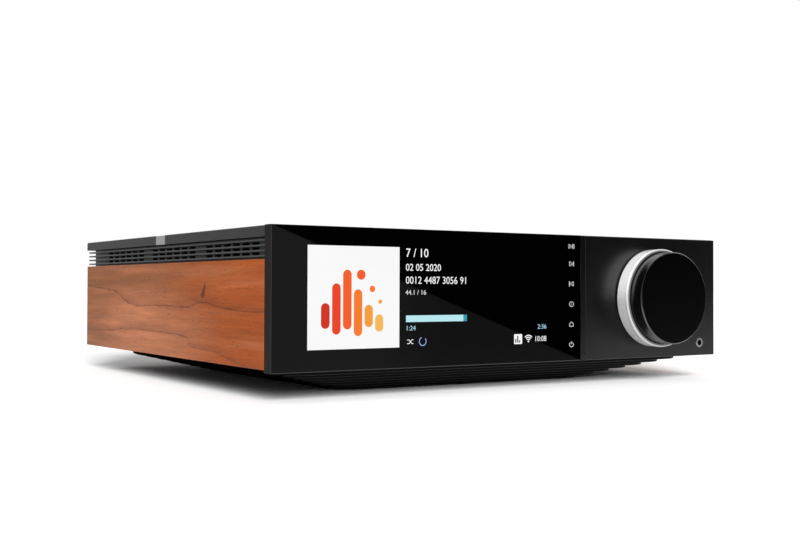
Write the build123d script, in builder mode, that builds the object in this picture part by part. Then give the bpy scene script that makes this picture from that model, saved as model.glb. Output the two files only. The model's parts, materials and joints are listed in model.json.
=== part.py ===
from build123d import *
import os

# Network music streamer in millimetres: X to the right, Y to the back, Z up.
# The origin is on the floor, in the middle of the whole object's width and depth.

os.makedirs("parts", exist_ok=True)

# Overall sizes
width = 317.0
height = 89.0
body_depth = 291.6  # front of the glass to the back edge of the cover
knob_reach = 19.6  # how far the knob's face stands in front of the glass
terminal_reach = 34.0  # how far the speaker terminals stand behind the cover
half = width / 2
front = -(body_depth + terminal_reach - knob_reach) / 2
back = front + body_depth
gap = 0.2  # shadow gap between neighbouring covers

# Front panel
fascia_height = 73.6
fascia_depth = 7.15
glass_thickness = 1.8
fascia_bottom = height - fascia_height
frame_front = front + glass_thickness
frame_back = front + fascia_depth
edge_break = 0.3  # chamfer on the front panel's edges
seam_left = 44.0  # right edge of the glass
seam_right = 47.6  # left edge of the control plate

# Display window, and the module that fills it
window_x = (-143.6, 21.2)
window_z = (fascia_bottom + 5.4, fascia_bottom + 70.0)
module_clearance = 0.3
module_depth = 6.0
bracket_thickness = 1.2
bracket_x = (-148.6, 26.4)
bracket_z = (fascia_bottom + 3.0, fascia_bottom + 67.5)
bracket_windows = (-105.0, -62.0, -19.0)  # middles of the three openings in the bracket
bracket_window_size = (30.0, 42.0)
bracket_screw_margin = 2.2
bracket_screw_levels = (30.0, 76.0)
lug = 4.4  # side of the pads that hold the bracket off the frame

# Push keys in the seam
key_names = ["play_key", "next_key", "previous_key", "info_key", "home_key", "power_key"]
key_x = (seam_left + seam_right) / 2
key_gap = 0.3
plain_end = 3.8  # fixed end of the strip below the last key
key_pitch = (fascia_height - plain_end) / len(key_names)
key_travel = 0.6
key_face = front + 0.2
key_cap_depth = 0.9
stem_width = 2.2
stem_height = 7.0
stem_clearance = 0.3
head_width = 4.2
head_height = 7.0
head_depth = 1.1
key_board_front = frame_back + 6.25
key_board_x = (35.0, 60.0)
key_board_z = (20.0, 86.0)
key_switch_side = 6.0
key_switch_body = 3.5
plunger_radius = 1.7
boss_places = ((38.5, 34.0), (55.0, 74.0))
boss_radius = 3.0
board_thickness = 1.6

# Double knob and its encoder
knob_x = 101.6
knob_z = fascia_bottom + 36.6
ring_radius = 29.8
ring_back = front - 0.6
ring_front = front - 10.4
ring_bore = 28.0
knob_radius = 27.7
knob_face = front - knob_reach
shaft_radius = 2.0
tube_radius = 3.0
running_gap = 0.05
bushing_radius = 4.5
nut_radius = 7.4
nut_thickness = 1.5
encoder_side = 24.0
encoder_depth = 16.0
rotor_radius = 9.0

# Headphone socket
phones_x = 144.8
phones_z = fascia_bottom + 8.1
phones_bore = 1.75
collar_radius = 3.15
barrel_radius = 2.9

# Cover and its band
cover_top = height - 0.2
cover_bottom = fascia_bottom + 67.8
cover_skin = 1.8
cover_rim = 12.5
cover_rear_rim = 8.0
cover_front = frame_back + gap
band_centre = front + 149.1
band_width = 14.6
band_thickness = 0.8
cover_break = 0.4

# Vent rails
wood_bottom = fascia_bottom + 1.3
wood_top = fascia_bottom + 56.8
fin_thickness = 0.9
fin_pitch = 2.65
fin_count = 4
fin_first = wood_top + 1.4
fin_edge = half - 1.3
rail_wall = half - 6.0
rail_thickness = 1.5
rail_flange = 10.5
lip_setback = 5.0  # the inner lips start this far behind the frame, clear of the display
slot_length = 8.7
slot_height = 1.5
slot_pitch = 11.9
slots_in_group = 6
slot_groups = 3
group_pitch = 84.1
first_slot = front + 25.2

# Wooden side panels and their magnets
wood_thickness = 8.0
magnet_radius = 6.0
magnet_depth = 3.0
magnet_rows = (wood_bottom + 12.0, wood_top - 12.0)
magnet_columns = (front + 45.0, back - 45.0)

# Sheet-metal tray and rear panel
sheet = 1.5
tray_half = half - wood_thickness - gap
tray_bottom = fascia_bottom + 0.2
tray_floor = tray_bottom + sheet
rear_back = back - 0.1
rear_front = rear_back - sheet
corner_block = 8.3

# Stepped base
tier_drop = 1.97
tier_count = 8
tier_front_inset = 7.67
tier_side_inset = 2.0
tier_front_step = 5.58
tier_side_step = 8.9
tier_corner = 20.0
tier_rear_corner = 100.0
tier_rear_step = 10.5
tier_lap = 3.0
base_bottom = 0.84
foot_radius = 14.0
foot_sink = 1.0
foot_span = (150.0, 158.0)

# Boards stand on posts above the tray
board_bottom = tray_floor + 6.9
board_top = board_bottom + board_thickness
post_radius = 2.8
screw_radius = 1.5
screw_length = 6.0
screw_head = 2.75
screw_head_height = 1.8
board_margin = 6.0
main_x = (-2.0, 146.0)
main_y = (40.0, 128.0)
supply_x = (-146.0, -60.0)
supply_y = (-40.0, 112.0)
amp_x = (-52.0, 28.0)
amp_y = (-100.0, 10.0)

# Components on the boards: limits in x, limits in y, and height
ribbon_connector = ((36.0, 56.0), (main_y[0], main_y[0] + 5.0), 4.0)
processor = ((18.0, 36.0), (70.0, 88.0), 1.8)
converter = ((60.0, 74.0), (96.0, 110.0), 1.4)
module_board = ((84.0, 128.0), (56.0, 98.0), 1.6)
module_shield = ((87.0, 125.0), (60.0, 94.0), 6.0)
shield_break = 0.6
amplifier_chips = (((-35.0, -17.0), (-60.0, -42.0), 2.4), ((-7.0, 11.0), (-60.0, -42.0), 2.4))
speaker_connector = ((-34.0, 10.0), (-2.0, 6.0), 9.0)
transformer = ((-126.0, -86.0), (-8.0, 30.0), 30.0)
rectifier_plate = ((-72.0, -69.0), (-20.0, 60.0), 30.0)
mains_connector = ((-132.0, -112.0), (92.0, 102.0), 9.0)
sink_x = (-48.0, 24.0)
sink_y = (-72.0, -32.0)
sink_base = 4.0
sink_fins = 10
sink_fin_pitch = 7.2
sink_fin_size = (1.8, 24.0)

# Upright round components: x, y, radius and height
main_cans = ((20.0, 104.0, 4.0, 11.0), (34.0, 104.0, 4.0, 11.0), (48.0, 104.0, 4.0, 11.0))
amplifier_coils = tuple((x, -22.0, 7.0, 14.0) for x in (-38.0, -20.0, -4.0, 14.0))
supply_cans = ((-126.0, 52.0, 11.0, 38.0), (-98.0, 52.0, 11.0, 38.0), (-80.0, 78.0, 9.0, 16.0))

# Sockets along the back edge of the main board
phono_z = board_top + 8.4
phono_first = 10.0
phono_pitch = 14.0
phono_count = 5
phono_radius = 4.15
phono_length = 10.5
phono_bore = 1.7
optical_x = 80.5
hdmi_x = 98.0
usb_x = 117.0
network_x = 136.0
socket_lip = 0.8  # how far a shielded socket stands out of the rear panel
cut_out_clearance = 0.15
antenna_places = ((30.0, 66.0), (120.0, 66.0))

# Speaker terminals
terminal_z = 38.0
terminal_names = ["right_positive", "right_negative", "left_positive", "left_negative"]
terminal_columns = (-92.0, -72.0, -42.0, -22.0)
plate_x = (-106.0, -8.0)
plate_z = (24.0, 52.0)
plate_thickness = 1.5
collar_height = 2.5
terminal_collar_radius = 8.0
washer_thickness = 1.4
washer_radius = 6.0
stud_radius = 3.0
banana_bore = 2.05
cap_radius = 7.5
cap_end = back + terminal_reach

# Mains inlet and switch
inlet_x = -125.0
inlet_z = 34.0
switch_z = 63.0
rocker_tilt = 9.0


def block(x, y, z, mode=Mode.ADD):
    """Adds or cuts a block between two limits on each axis, in the piece that is open."""
    with Locations(((x[0] + x[1]) / 2, (y[0] + y[1]) / 2, (z[0] + z[1]) / 2)):
        Box(x[1] - x[0], y[1] - y[0], z[1] - z[0], mode=mode)


def rod(x, y, z, radius, mode=Mode.ADD):
    """Adds or cuts a round rod along Y between two limits, in the piece that is open."""
    with Locations((x, (y[0] + y[1]) / 2, z)):
        Cylinder(radius, y[1] - y[0], rotation=(90, 0, 0), mode=mode)


def around(centre, size):
    """The two limits of a length laid evenly about a centre."""
    return centre - size / 2, centre + size / 2


def save(piece, name):
    """Names a finished piece and writes it to its own file."""
    piece.part.label = name
    export_step(piece.part, f"parts/{name}.step")


# Stepped base: thin tiers with round corners, each smaller than the one above, hollow from the top
body_middle = front + body_depth / 2


def tier_plan(step, drawn_in):
    """Plan of one tier, counted from the top, with tight corners in front and wide ones at the rear."""
    across = width - 2 * (tier_side_inset + tier_side_step * step + drawn_in)
    along = body_depth - 2 * (tier_front_inset + tier_front_step * step + drawn_in)
    rear_corner = tier_rear_corner - tier_rear_step * step
    with BuildSketch() as plan:
        with Locations((0, body_middle)):
            RectangleRounded(across, along, tier_corner - drawn_in)
        with Locations((0, body_middle - rear_corner)):
            RectangleRounded(across, along + 2 * rear_corner, rear_corner - drawn_in, mode=Mode.INTERSECT)
    return plan.sketch


tier_plans = [tier_plan(step, 0) for step in range(tier_count)]
tier_hollows = [tier_plan(step, tier_lap) for step in range(1, tier_count)]

with BuildPart() as stepped_base:
    for step in range(tier_count):
        tier_base = base_bottom + tier_drop * (tier_count - 1 - step)
        tier_top = tray_bottom if step == 0 else tier_base + tier_drop
        with BuildSketch(Plane.XY.offset(tier_base)):
            add(tier_plans[step])
            if step < tier_count - 1:
                add(tier_hollows[step], mode=Mode.SUBTRACT)
        extrude(amount=tier_top - tier_base)
    with BuildSketch(Plane.XY.offset(base_bottom)):
        with Locations((0, body_middle)):
            with GridLocations(foot_span[0], foot_span[1], 2, 2):
                Circle(foot_radius)
    extrude(amount=foot_sink, mode=Mode.SUBTRACT)
save(stepped_base, "stepped_base")

# Four round rubber feet, sunk into the lowest tier
with BuildPart() as rubber_feet:
    with BuildSketch(Plane.XY):
        with Locations((0, body_middle)):
            with GridLocations(foot_span[0], foot_span[1], 2, 2):
                Circle(foot_radius)
    extrude(amount=base_bottom + foot_sink)
save(rubber_feet, "rubber_feet")

# Tray: a folded steel floor with two walls that turn in at the top, and blocks for the rear screws
tray_lip = rail_wall - rail_flange
rear_screw_places = [
    (side * (tray_half - sheet - corner_block / 2), level)
    for side in (-1, 1)
    for level in (tray_floor + corner_block / 2, wood_top - sheet - corner_block / 2)
]
lug_screw_places = [(-60.0, cover_bottom - corner_block / 2), (60.0, cover_bottom - corner_block / 2)]
with BuildPart() as chassis_tray:
    with BuildSketch(Plane.XZ.offset(-rear_front)):
        with Locations((0, (tray_bottom + wood_top) / 2)):
            Rectangle(2 * tray_half, wood_top - tray_bottom)
        with Locations((0, (tray_floor + wood_top) / 2)):
            Rectangle(2 * (tray_half - sheet), wood_top - tray_floor, mode=Mode.SUBTRACT)
    extrude(amount=rear_front - frame_back)
    with BuildSketch(Plane.XZ.offset(-rear_front)):
        for side in (-1, 1):
            with Locations((side * (tray_lip + tray_half) / 2, wood_top - sheet / 2)):
                Rectangle(tray_half - tray_lip, sheet)
    extrude(amount=rear_front - frame_back - lip_setback)
    for x, z in rear_screw_places:
        block(around(x, corner_block), (rear_front - corner_block, rear_front), around(z, corner_block))
        rod(x, (rear_front - screw_length, rear_front), z, screw_radius, Mode.SUBTRACT)
save(chassis_tray, "chassis_tray")

# Top cover: a plate with a deep rim on three sides, a groove for the band and two lugs for screws
with BuildPart() as top_cover:
    block((-half, half), (cover_front, back), (cover_bottom, cover_top))
    upper_edges = top_cover.edges().group_by(Axis.Z)[-1]
    chamfer(upper_edges.filter_by(Axis.Y) + upper_edges.sort_by(Axis.Y)[-1:], length=cover_break)
    block(
        (-half + cover_rim, half - cover_rim),
        (cover_front, back - cover_rear_rim),
        (cover_bottom, cover_top - cover_skin),
        Mode.SUBTRACT,
    )
    band_y = around(band_centre, band_width)
    block((-half, half), band_y, (cover_top - band_thickness, cover_top), Mode.SUBTRACT)
    for side in (-1, 1):
        groove = sorted((side * half, side * (half - band_thickness)))
        block(groove, band_y, (cover_bottom, cover_top), Mode.SUBTRACT)
    for x, z in lug_screw_places:
        block(around(x, corner_block), (rear_front - corner_block, rear_front), around(z, corner_block))
        rod(x, (rear_front - screw_length, rear_front), z, screw_radius, Mode.SUBTRACT)
save(top_cover, "top_cover")

# Satin band let into the cover's groove, across the top and down both edges
with BuildPart() as cover_band:
    with BuildSketch(Plane.XZ.offset(-band_y[1])):
        with BuildLine():
            Polyline(
                (-half, cover_bottom),
                (-half, cover_top - cover_break),
                (-half + cover_break, cover_top),
                (half - cover_break, cover_top),
                (half, cover_top - cover_break),
                (half, cover_bottom),
                close=True,
            )
        make_face()
        with Locations((0, (cover_bottom + cover_top - band_thickness) / 2)):
            Rectangle(
                2 * (half - band_thickness),
                cover_top - band_thickness - cover_bottom,
                mode=Mode.SUBTRACT,
            )
    extrude(amount=band_width)
save(cover_band, "cover_band")


# Vent rails: a slotted wall with fins outside and a lip inside, top and bottom
def vent_rail(side):
    """One rail: side is -1 on the left and 1 on the right."""
    rail_end = back - gap
    inner = rail_wall - rail_thickness
    with BuildPart() as rail:
        with BuildSketch(Plane.XZ.offset(-rail_end)):
            with Locations((side * (inner + rail_wall) / 2, (wood_top + cover_bottom) / 2)):
                Rectangle(rail_thickness, cover_bottom - wood_top)
            for fin in range(fin_count):
                with Locations((side * (inner + fin_edge) / 2, fin_first + fin_pitch * fin)):
                    Rectangle(fin_edge - inner, fin_thickness)
        extrude(amount=rail_end - frame_back)
        with BuildSketch(Plane.XZ.offset(-rear_front)):
            for level in (wood_top + rail_thickness / 2, cover_bottom - rail_thickness / 2):
                with Locations((side * (rail_wall - rail_flange / 2), level)):
                    Rectangle(rail_flange, rail_thickness)
        extrude(amount=rear_front - frame_back - lip_setback)
        group_length = slot_pitch * (slots_in_group - 1) + slot_length
        group_middles = [first_slot + group_length / 2 + group_pitch * group for group in range(slot_groups)]
        slot_middle = fin_first + fin_pitch * (fin_count - 1) / 2
        with BuildSketch(Plane.YZ.offset(side * (inner + rail_wall) / 2)):
            with Locations(*[(middle, slot_middle) for middle in group_middles]):
                with GridLocations(slot_pitch, fin_pitch, slots_in_group, fin_count - 1):
                    Rectangle(slot_length, slot_height)
        extrude(amount=rail_thickness, both=True, mode=Mode.SUBTRACT)
    return rail


save(vent_rail(-1), "left_vent_rail")
save(vent_rail(1), "right_vent_rail")


# Wooden side panels, with magnets let into their inner faces
def magnet_planes(side):
    """Planes on the inner face of a panel, one at each magnet, facing outwards."""
    inner = side * (half - wood_thickness)
    return [Plane(origin=(inner, y, z), z_dir=(side, 0, 0)) for y in magnet_columns for z in magnet_rows]


def side_panel(side):
    """One wooden panel: side is -1 on the left and 1 on the right."""
    limits = sorted((side * (half - wood_thickness), side * half))
    with BuildPart() as panel:
        block(limits, (frame_back + gap, back - 2 * gap), (wood_bottom, wood_top - gap))
        outer = panel.faces().sort_by(Axis.X)[-1 if side > 0 else 0]
        chamfer(outer.edges(), length=cover_break)
        with Locations(*[plane.location for plane in magnet_planes(side)]):
            Cylinder(
                magnet_radius,
                magnet_depth,
                align=(Align.CENTER, Align.CENTER, Align.MIN),
                mode=Mode.SUBTRACT,
            )
    return panel


def panel_magnets(side):
    """The four disc magnets of one panel."""
    with BuildPart() as magnets:
        with Locations(*[plane.location for plane in magnet_planes(side)]):
            Cylinder(magnet_radius, magnet_depth, align=(Align.CENTER, Align.CENTER, Align.MIN))
    return magnets


for side_name, side in (("left", -1), ("right", 1)):
    save(side_panel(side), f"{side_name}_side_panel")
    save(panel_magnets(side), f"{side_name}_panel_magnets")

# Fascia frame: the metal plate behind the glass, with the window and the holes for keys and knob
key_centres = [height - key_pitch * (index + 0.5) for index in range(len(key_names))]
bracket_screw_places = [
    (x, z)
    for x in (window_x[0] - bracket_screw_margin, window_x[1] + bracket_screw_margin)
    for z in bracket_screw_levels
]
with BuildPart() as fascia_frame:
    block((-half, half), (frame_front, frame_back), (fascia_bottom, height))
    block(window_x, (frame_front, frame_back), window_z, Mode.SUBTRACT)
    for centre in key_centres:
        block(
            around(key_x, stem_width + 2 * stem_clearance),
            (frame_front, frame_back),
            around(centre, stem_height + 2 * stem_clearance),
            Mode.SUBTRACT,
        )
    rod(knob_x, (frame_front, frame_back), knob_z, bushing_radius, Mode.SUBTRACT)
    rod(phones_x, (frame_front, frame_back), phones_z, barrel_radius, Mode.SUBTRACT)
    for x, z in boss_places:
        rod(x, (frame_back, key_board_front), z, boss_radius)
        rod(x, (key_board_front - screw_length, key_board_front), z, screw_radius, Mode.SUBTRACT)
    for x, z in bracket_screw_places:
        rod(x, (frame_back - screw_length / 2, frame_back), z, screw_radius, Mode.SUBTRACT)
save(fascia_frame, "fascia_frame")

# Front glass over the display, flush with the frame's edges
with BuildPart() as front_glass:
    block((-half, seam_left), (front, frame_front), (fascia_bottom, height))
    chamfer(front_glass.faces().sort_by(Axis.Y)[0].edges(), length=edge_break)
save(front_glass, "front_glass")

# Control plate right of the seam, with the fixed end of the key strip
with BuildPart() as control_plate:
    block((seam_right, half), (front, frame_front), (fascia_bottom, height - gap))
    chamfer(control_plate.faces().sort_by(Axis.Y)[0].edges(), length=edge_break)
    block(
        (seam_left + key_gap / 2, seam_right),
        (key_face, frame_front),
        (fascia_bottom, fascia_bottom + plain_end - key_gap),
    )
    rod(knob_x, (front, frame_front), knob_z, nut_radius + 1.0, Mode.SUBTRACT)
    rod(phones_x, (front, frame_front), phones_z, collar_radius, Mode.SUBTRACT)
save(control_plate, "control_plate")

# Display module in the window, and the bracket that presses on its back
module_x = (window_x[0] + module_clearance, window_x[1] - module_clearance)
module_z = (window_z[0] + module_clearance, window_z[1] - module_clearance)
module_back = frame_front + module_depth
with BuildPart() as display_module:
    block(module_x, (frame_front, module_back), module_z)
    chamfer(display_module.faces().sort_by(Axis.Y)[-1].edges(), length=1.0)
save(display_module, "display_module")

with BuildPart() as display_bracket:
    block(bracket_x, (module_back, module_back + bracket_thickness), bracket_z)
    for x in bracket_windows:
        block(
            around(x, bracket_window_size[0]),
            (module_back, module_back + bracket_thickness),
            around((window_z[0] + window_z[1]) / 2, bracket_window_size[1]),
            Mode.SUBTRACT,
        )
    for x, z in bracket_screw_places:
        block(around(x, lug), (frame_back, module_back), around(z, lug))
        rod(x, (frame_back, module_back + bracket_thickness), z, screw_radius, Mode.SUBTRACT)
save(display_bracket, "display_bracket")


# Keys: a slim cap in the seam, a stem through the frame and a head that stops it behind
def push_key(centre):
    """One push key at a height."""
    cap_back = key_face + key_cap_depth
    head_front = frame_back + running_gap
    with BuildPart() as key:
        block(
            around(key_x, seam_right - seam_left - key_gap),
            (key_face, cap_back),
            around(centre, key_pitch - key_gap),
        )
        block(around(key_x, stem_width), (cap_back, head_front), around(centre, stem_height))
        block(
            around(key_x, head_width),
            (head_front, head_front + head_depth),
            around(centre, head_height),
        )
    return key


for key_name, centre in zip(key_names, key_centres):
    save(push_key(centre), key_name)

# Key board: a circuit board on two bosses, with one switch behind each key
plunger_front = frame_back + running_gap + head_depth + key_travel + running_gap
with BuildPart() as key_board:
    block(key_board_x, (key_board_front, key_board_front + board_thickness), key_board_z)
    for x, z in boss_places:
        rod(x, (key_board_front, key_board_front + board_thickness), z, screw_radius, Mode.SUBTRACT)
    for centre in key_centres:
        block(
            around(key_x, key_switch_side),
            (key_board_front - key_switch_body, key_board_front),
            around(centre, key_switch_side),
        )
        rod(key_x, (plunger_front, key_board_front), centre, plunger_radius)
    ribbon_start = key_board_front + board_thickness + 3.0
    block((36.0, 56.0), (key_board_front + board_thickness, ribbon_start), (23.0, 28.0))
save(key_board, "key_board")

# Encoder: one housing with two chambers, and a bushing that takes both shafts
encoder_back = frame_back + encoder_depth
chamber_length = 4.0
chamber_wall = 2.0
front_chamber = (frame_back + chamber_wall, frame_back + chamber_wall + chamber_length)
rear_chamber = (front_chamber[1] + chamber_wall, front_chamber[1] + chamber_wall + chamber_length)
with BuildPart() as encoder_housing:
    block(around(knob_x, encoder_side), (frame_back, encoder_back), around(knob_z, encoder_side))
    rod(knob_x, (front, frame_back), knob_z, bushing_radius)
    rod(knob_x, front_chamber, knob_z, rotor_radius + 0.4, Mode.SUBTRACT)
    rod(knob_x, rear_chamber, knob_z, rotor_radius + 0.4, Mode.SUBTRACT)
    rod(knob_x, (front, front_chamber[0]), knob_z, tube_radius + running_gap, Mode.SUBTRACT)
    rod(knob_x, (front_chamber[1], rear_chamber[0]), knob_z, shaft_radius + running_gap, Mode.SUBTRACT)
save(encoder_housing, "encoder_housing")

# Hexagon nut that clamps the encoder to the frame, hidden in the control plate's hole
with BuildPart() as encoder_nut:
    with BuildSketch(Plane.XZ.offset(-frame_front)):
        with Locations((knob_x, knob_z)):
            RegularPolygon(nut_radius, 6)
            Circle(bushing_radius, mode=Mode.SUBTRACT)
    extrude(amount=nut_thickness)
save(encoder_nut, "encoder_nut")

# Shafts of the double knob, each with its encoder disc
hub_front = ring_back - 6.4
disc_thickness = 1.2
front_disc = around((front_chamber[0] + front_chamber[1]) / 2, disc_thickness)
rear_disc = around((rear_chamber[0] + rear_chamber[1]) / 2, disc_thickness)
shaft_tip = knob_face + 5.6
with BuildPart() as volume_shaft:
    rod(knob_x, (hub_front, front_disc[1]), knob_z, tube_radius)
    rod(knob_x, front_disc, knob_z, rotor_radius)
    rod(knob_x, (hub_front, front_disc[1]), knob_z, shaft_radius + running_gap, Mode.SUBTRACT)
save(volume_shaft, "volume_shaft")

with BuildPart() as source_shaft:
    rod(knob_x, (shaft_tip, rear_disc[1]), knob_z, shaft_radius)
    rod(knob_x, rear_disc, knob_z, rotor_radius)
save(source_shaft, "source_shaft")

# Outer ring: a wide rim with a fine front bevel, on a thin web and hub
knob_axis = Axis((knob_x, 0, knob_z), (0, 1, 0))
web_front = ring_back - 3.0
with BuildPart() as volume_ring:
    with BuildSketch(Plane.XY.offset(knob_z)):
        with BuildLine():
            Polyline(
                (knob_x + tube_radius, ring_back),
                (knob_x + ring_radius, ring_back),
                (knob_x + ring_radius, ring_front + 1.1),
                (knob_x + ring_radius - 0.4, ring_front + 0.6),
                (knob_x + ring_bore, ring_front),
                (knob_x + ring_bore, web_front),
                (knob_x + 7.0, web_front),
                (knob_x + 7.0, hub_front),
                (knob_x + tube_radius, hub_front),
                close=True,
            )
        make_face()
    revolve(axis=knob_axis)
save(volume_ring, "volume_ring")

# Inner knob: a hollow cap that runs inside the ring
knob_wall = 2.7
knob_plate = 4.0
knob_hub = 5.0
with BuildPart() as source_knob:
    with BuildSketch(Plane.XY.offset(knob_z)):
        with BuildLine():
            Polyline(
                (knob_x, knob_face),
                (knob_x + knob_radius - 0.5, knob_face),
                (knob_x + knob_radius, knob_face + 0.5),
                (knob_x + knob_radius, web_front - 0.6),
                (knob_x + knob_radius - knob_wall, web_front - 0.6),
                (knob_x + knob_radius - knob_wall, knob_face + knob_plate),
                (knob_x + knob_hub, knob_face + knob_plate),
                (knob_x + knob_hub, hub_front - 0.6),
                (knob_x + shaft_radius, hub_front - 0.6),
                (knob_x + shaft_radius, shaft_tip),
                (knob_x, shaft_tip),
                close=True,
            )
        make_face()
    revolve(axis=knob_axis)
save(source_knob, "source_knob")

# Headphone socket behind the frame, and its bright collar in the control plate
phones_back = frame_back + 12.0
phones_depth = 12.2
with BuildPart() as headphone_socket:
    block((138.0, 148.6), (frame_back, phones_back), around(phones_z, 10.0))
    rod(phones_x, (frame_front, frame_back), phones_z, barrel_radius)
    rod(phones_x, (frame_front, frame_front + phones_depth), phones_z, phones_bore, Mode.SUBTRACT)
save(headphone_socket, "headphone_socket")

with BuildPart() as headphone_collar:
    rod(phones_x, (front - 0.25, frame_front), phones_z, collar_radius)
    rod(phones_x, (front - 0.25, frame_front), phones_z, phones_bore, Mode.SUBTRACT)
    mouth = headphone_collar.edges().filter_by(GeomType.CIRCLE).group_by(Axis.Y)[0]
    chamfer(mouth.sort_by(SortBy.RADIUS)[-1:], length=0.2)
save(headphone_collar, "headphone_collar")

# Sockets on the main board: a shell, its mouth and a tongue inside it
socket_mouth = rear_back + socket_lip
optical_outer = (10.0, 11.0)
optical_inner = (8.2, 8.2)
hdmi_outer = (15.0, 6.0)
hdmi_inner = (13.9, 4.5)
usb_outer = (13.2, 6.4)
usb_inner = (12.2, 5.2)
network_outer = (16.0, 13.5)
network_inner = (11.8, 7.2)


def shell_socket(x, outer, inner, length, depth, tongue):
    """A rectangular socket standing on the board, with a tongue given as width, height and length."""
    middle = board_top + outer[1] / 2
    with BuildPart() as socket:
        block(around(x, outer[0]), (socket_mouth - length, socket_mouth), (board_top, board_top + outer[1]))
        block(around(x, inner[0]), (socket_mouth - depth, socket_mouth), around(middle, inner[1]), Mode.SUBTRACT)
        if tongue:
            block(
                around(x, tongue[0]),
                (socket_mouth - depth, socket_mouth - depth + tongue[2]),
                around(middle, tongue[1]),
            )
    return socket


save(shell_socket(optical_x, optical_outer, optical_inner, 14.0, 9.0, (2.4, 2.4, 4.0)), "optical_socket")
save(shell_socket(hdmi_x, hdmi_outer, hdmi_inner, 12.0, 8.5, (11.0, 1.0, 6.5)), "hdmi_socket")
save(shell_socket(usb_x, usb_outer, usb_inner, 16.0, 12.0, (11.0, 1.8, 9.5)), "usb_socket")

# Network socket: a deep cavity with a notch for the plug's latch
network_depth = 13.0
with BuildPart() as network_socket:
    middle = board_top + network_outer[1] / 2
    mouth_y = (socket_mouth - network_depth, socket_mouth)
    block(
        around(network_x, network_outer[0]),
        (socket_mouth - 21.0, socket_mouth),
        (board_top, board_top + network_outer[1]),
    )
    block(around(network_x, network_inner[0]), mouth_y, around(middle, network_inner[1]), Mode.SUBTRACT)
    latch_bottom = middle + network_inner[1] / 2
    block(around(network_x, 5.8), mouth_y, (latch_bottom, latch_bottom + 1.8), Mode.SUBTRACT)
save(network_socket, "network_socket")

# Phono sockets: a row of insulated blocks with plated barrels
phono_columns = [phono_first + phono_pitch * index for index in range(phono_count)]
with BuildPart() as phono_sockets:
    for x in phono_columns:
        block(around(x, 11.0), (rear_front - 12.0, rear_front), (board_top, board_top + 14.0))
        rod(x, (rear_front, rear_back + phono_length), phono_z, phono_radius)
        rod(x, (rear_back + 1.0, rear_back + phono_length), phono_z, phono_radius - 0.7, Mode.SUBTRACT)
        rod(x, (rear_back + 1.0, rear_back + phono_length - 1.0), phono_z, phono_bore + 0.9)
        rod(x, (rear_back, rear_back + phono_length - 1.0), phono_z, phono_bore, Mode.SUBTRACT)
save(phono_sockets, "phono_sockets")

# Two threaded aerial sockets with their nuts
aerial_radius = 3.1
with BuildPart() as antenna_sockets:
    for x, z in antenna_places:
        rod(x, (rear_front - 6.0, rear_back + 9.0), z, aerial_radius)
        rod(x, (rear_front - 2.0, rear_front), z, 5.0)
        with BuildSketch(Plane.XZ.offset(-rear_back)):
            with Locations((x, z)):
                RegularPolygon(4.6, 6)
        extrude(amount=-2.0)
        rod(x, (rear_back + 3.0, rear_back + 9.0), z, aerial_radius - 0.9, Mode.SUBTRACT)
        rod(x, (rear_back + 3.0, rear_back + 7.5), z, 0.6)
save(antenna_sockets, "antenna_sockets")

# Speaker terminals: a moulded plate with four collars, studs, clamp washers and screw caps
plate_back = rear_back + plate_thickness
collar_back = plate_back + collar_height
washer_back = collar_back + washer_thickness
thread_radius = stud_radius + running_gap
with BuildPart() as terminal_plate:
    block(plate_x, (rear_back, plate_back), plate_z)
    chamfer(terminal_plate.faces().sort_by(Axis.Y)[-1].edges(), length=0.5)
    for x in terminal_columns:
        rod(x, (plate_back, collar_back), terminal_z, terminal_collar_radius)
        rod(x, (rear_back, collar_back), terminal_z, stud_radius, Mode.SUBTRACT)
save(terminal_plate, "terminal_plate")

stud_inside = rear_front - 9.0
stud_end = cap_end - 1.2
banana_depth = 20.0
with BuildPart() as terminal_studs:
    for x in terminal_columns:
        rod(x, (stud_inside, stud_end), terminal_z, stud_radius)
        rod(x, (rear_front - 3.0, rear_front), terminal_z, 5.2)
        rod(x, (stud_end - banana_depth, stud_end), terminal_z, banana_bore, Mode.SUBTRACT)
save(terminal_studs, "terminal_studs")


def clamp_washer(x):
    """The plated washer that a cap presses on the wire."""
    with BuildPart() as washer:
        rod(x, (collar_back + 0.02, washer_back), terminal_z, washer_radius)
        rod(x, (collar_back, washer_back), terminal_z, thread_radius, Mode.SUBTRACT)
    return washer


def screw_cap(x):
    """A grooved cap that screws along its stud, with a recess at its end."""
    cap_front = washer_back + 0.02
    grip = 12
    with BuildPart() as cap:
        rod(x, (cap_front, cap_end), terminal_z, cap_radius)
        ends = cap.edges().filter_by(GeomType.CIRCLE)
        chamfer(ends, length=0.8)
        with Locations((x, (cap_front + cap_end) / 2 + 2.0, terminal_z)):
            with Locations(Rotation(90, 0, 0)):
                with PolarLocations(cap_radius + 0.6, grip):
                    Cylinder(1.2, cap_end - cap_front - 8.0, mode=Mode.SUBTRACT)
        rod(x, (cap_front, cap_end), terminal_z, thread_radius, Mode.SUBTRACT)
    return cap


for terminal_name, x in zip(terminal_names, terminal_columns):
    save(clamp_washer(x), f"{terminal_name}_washer")
    save(screw_cap(x), f"{terminal_name}_cap")

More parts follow.
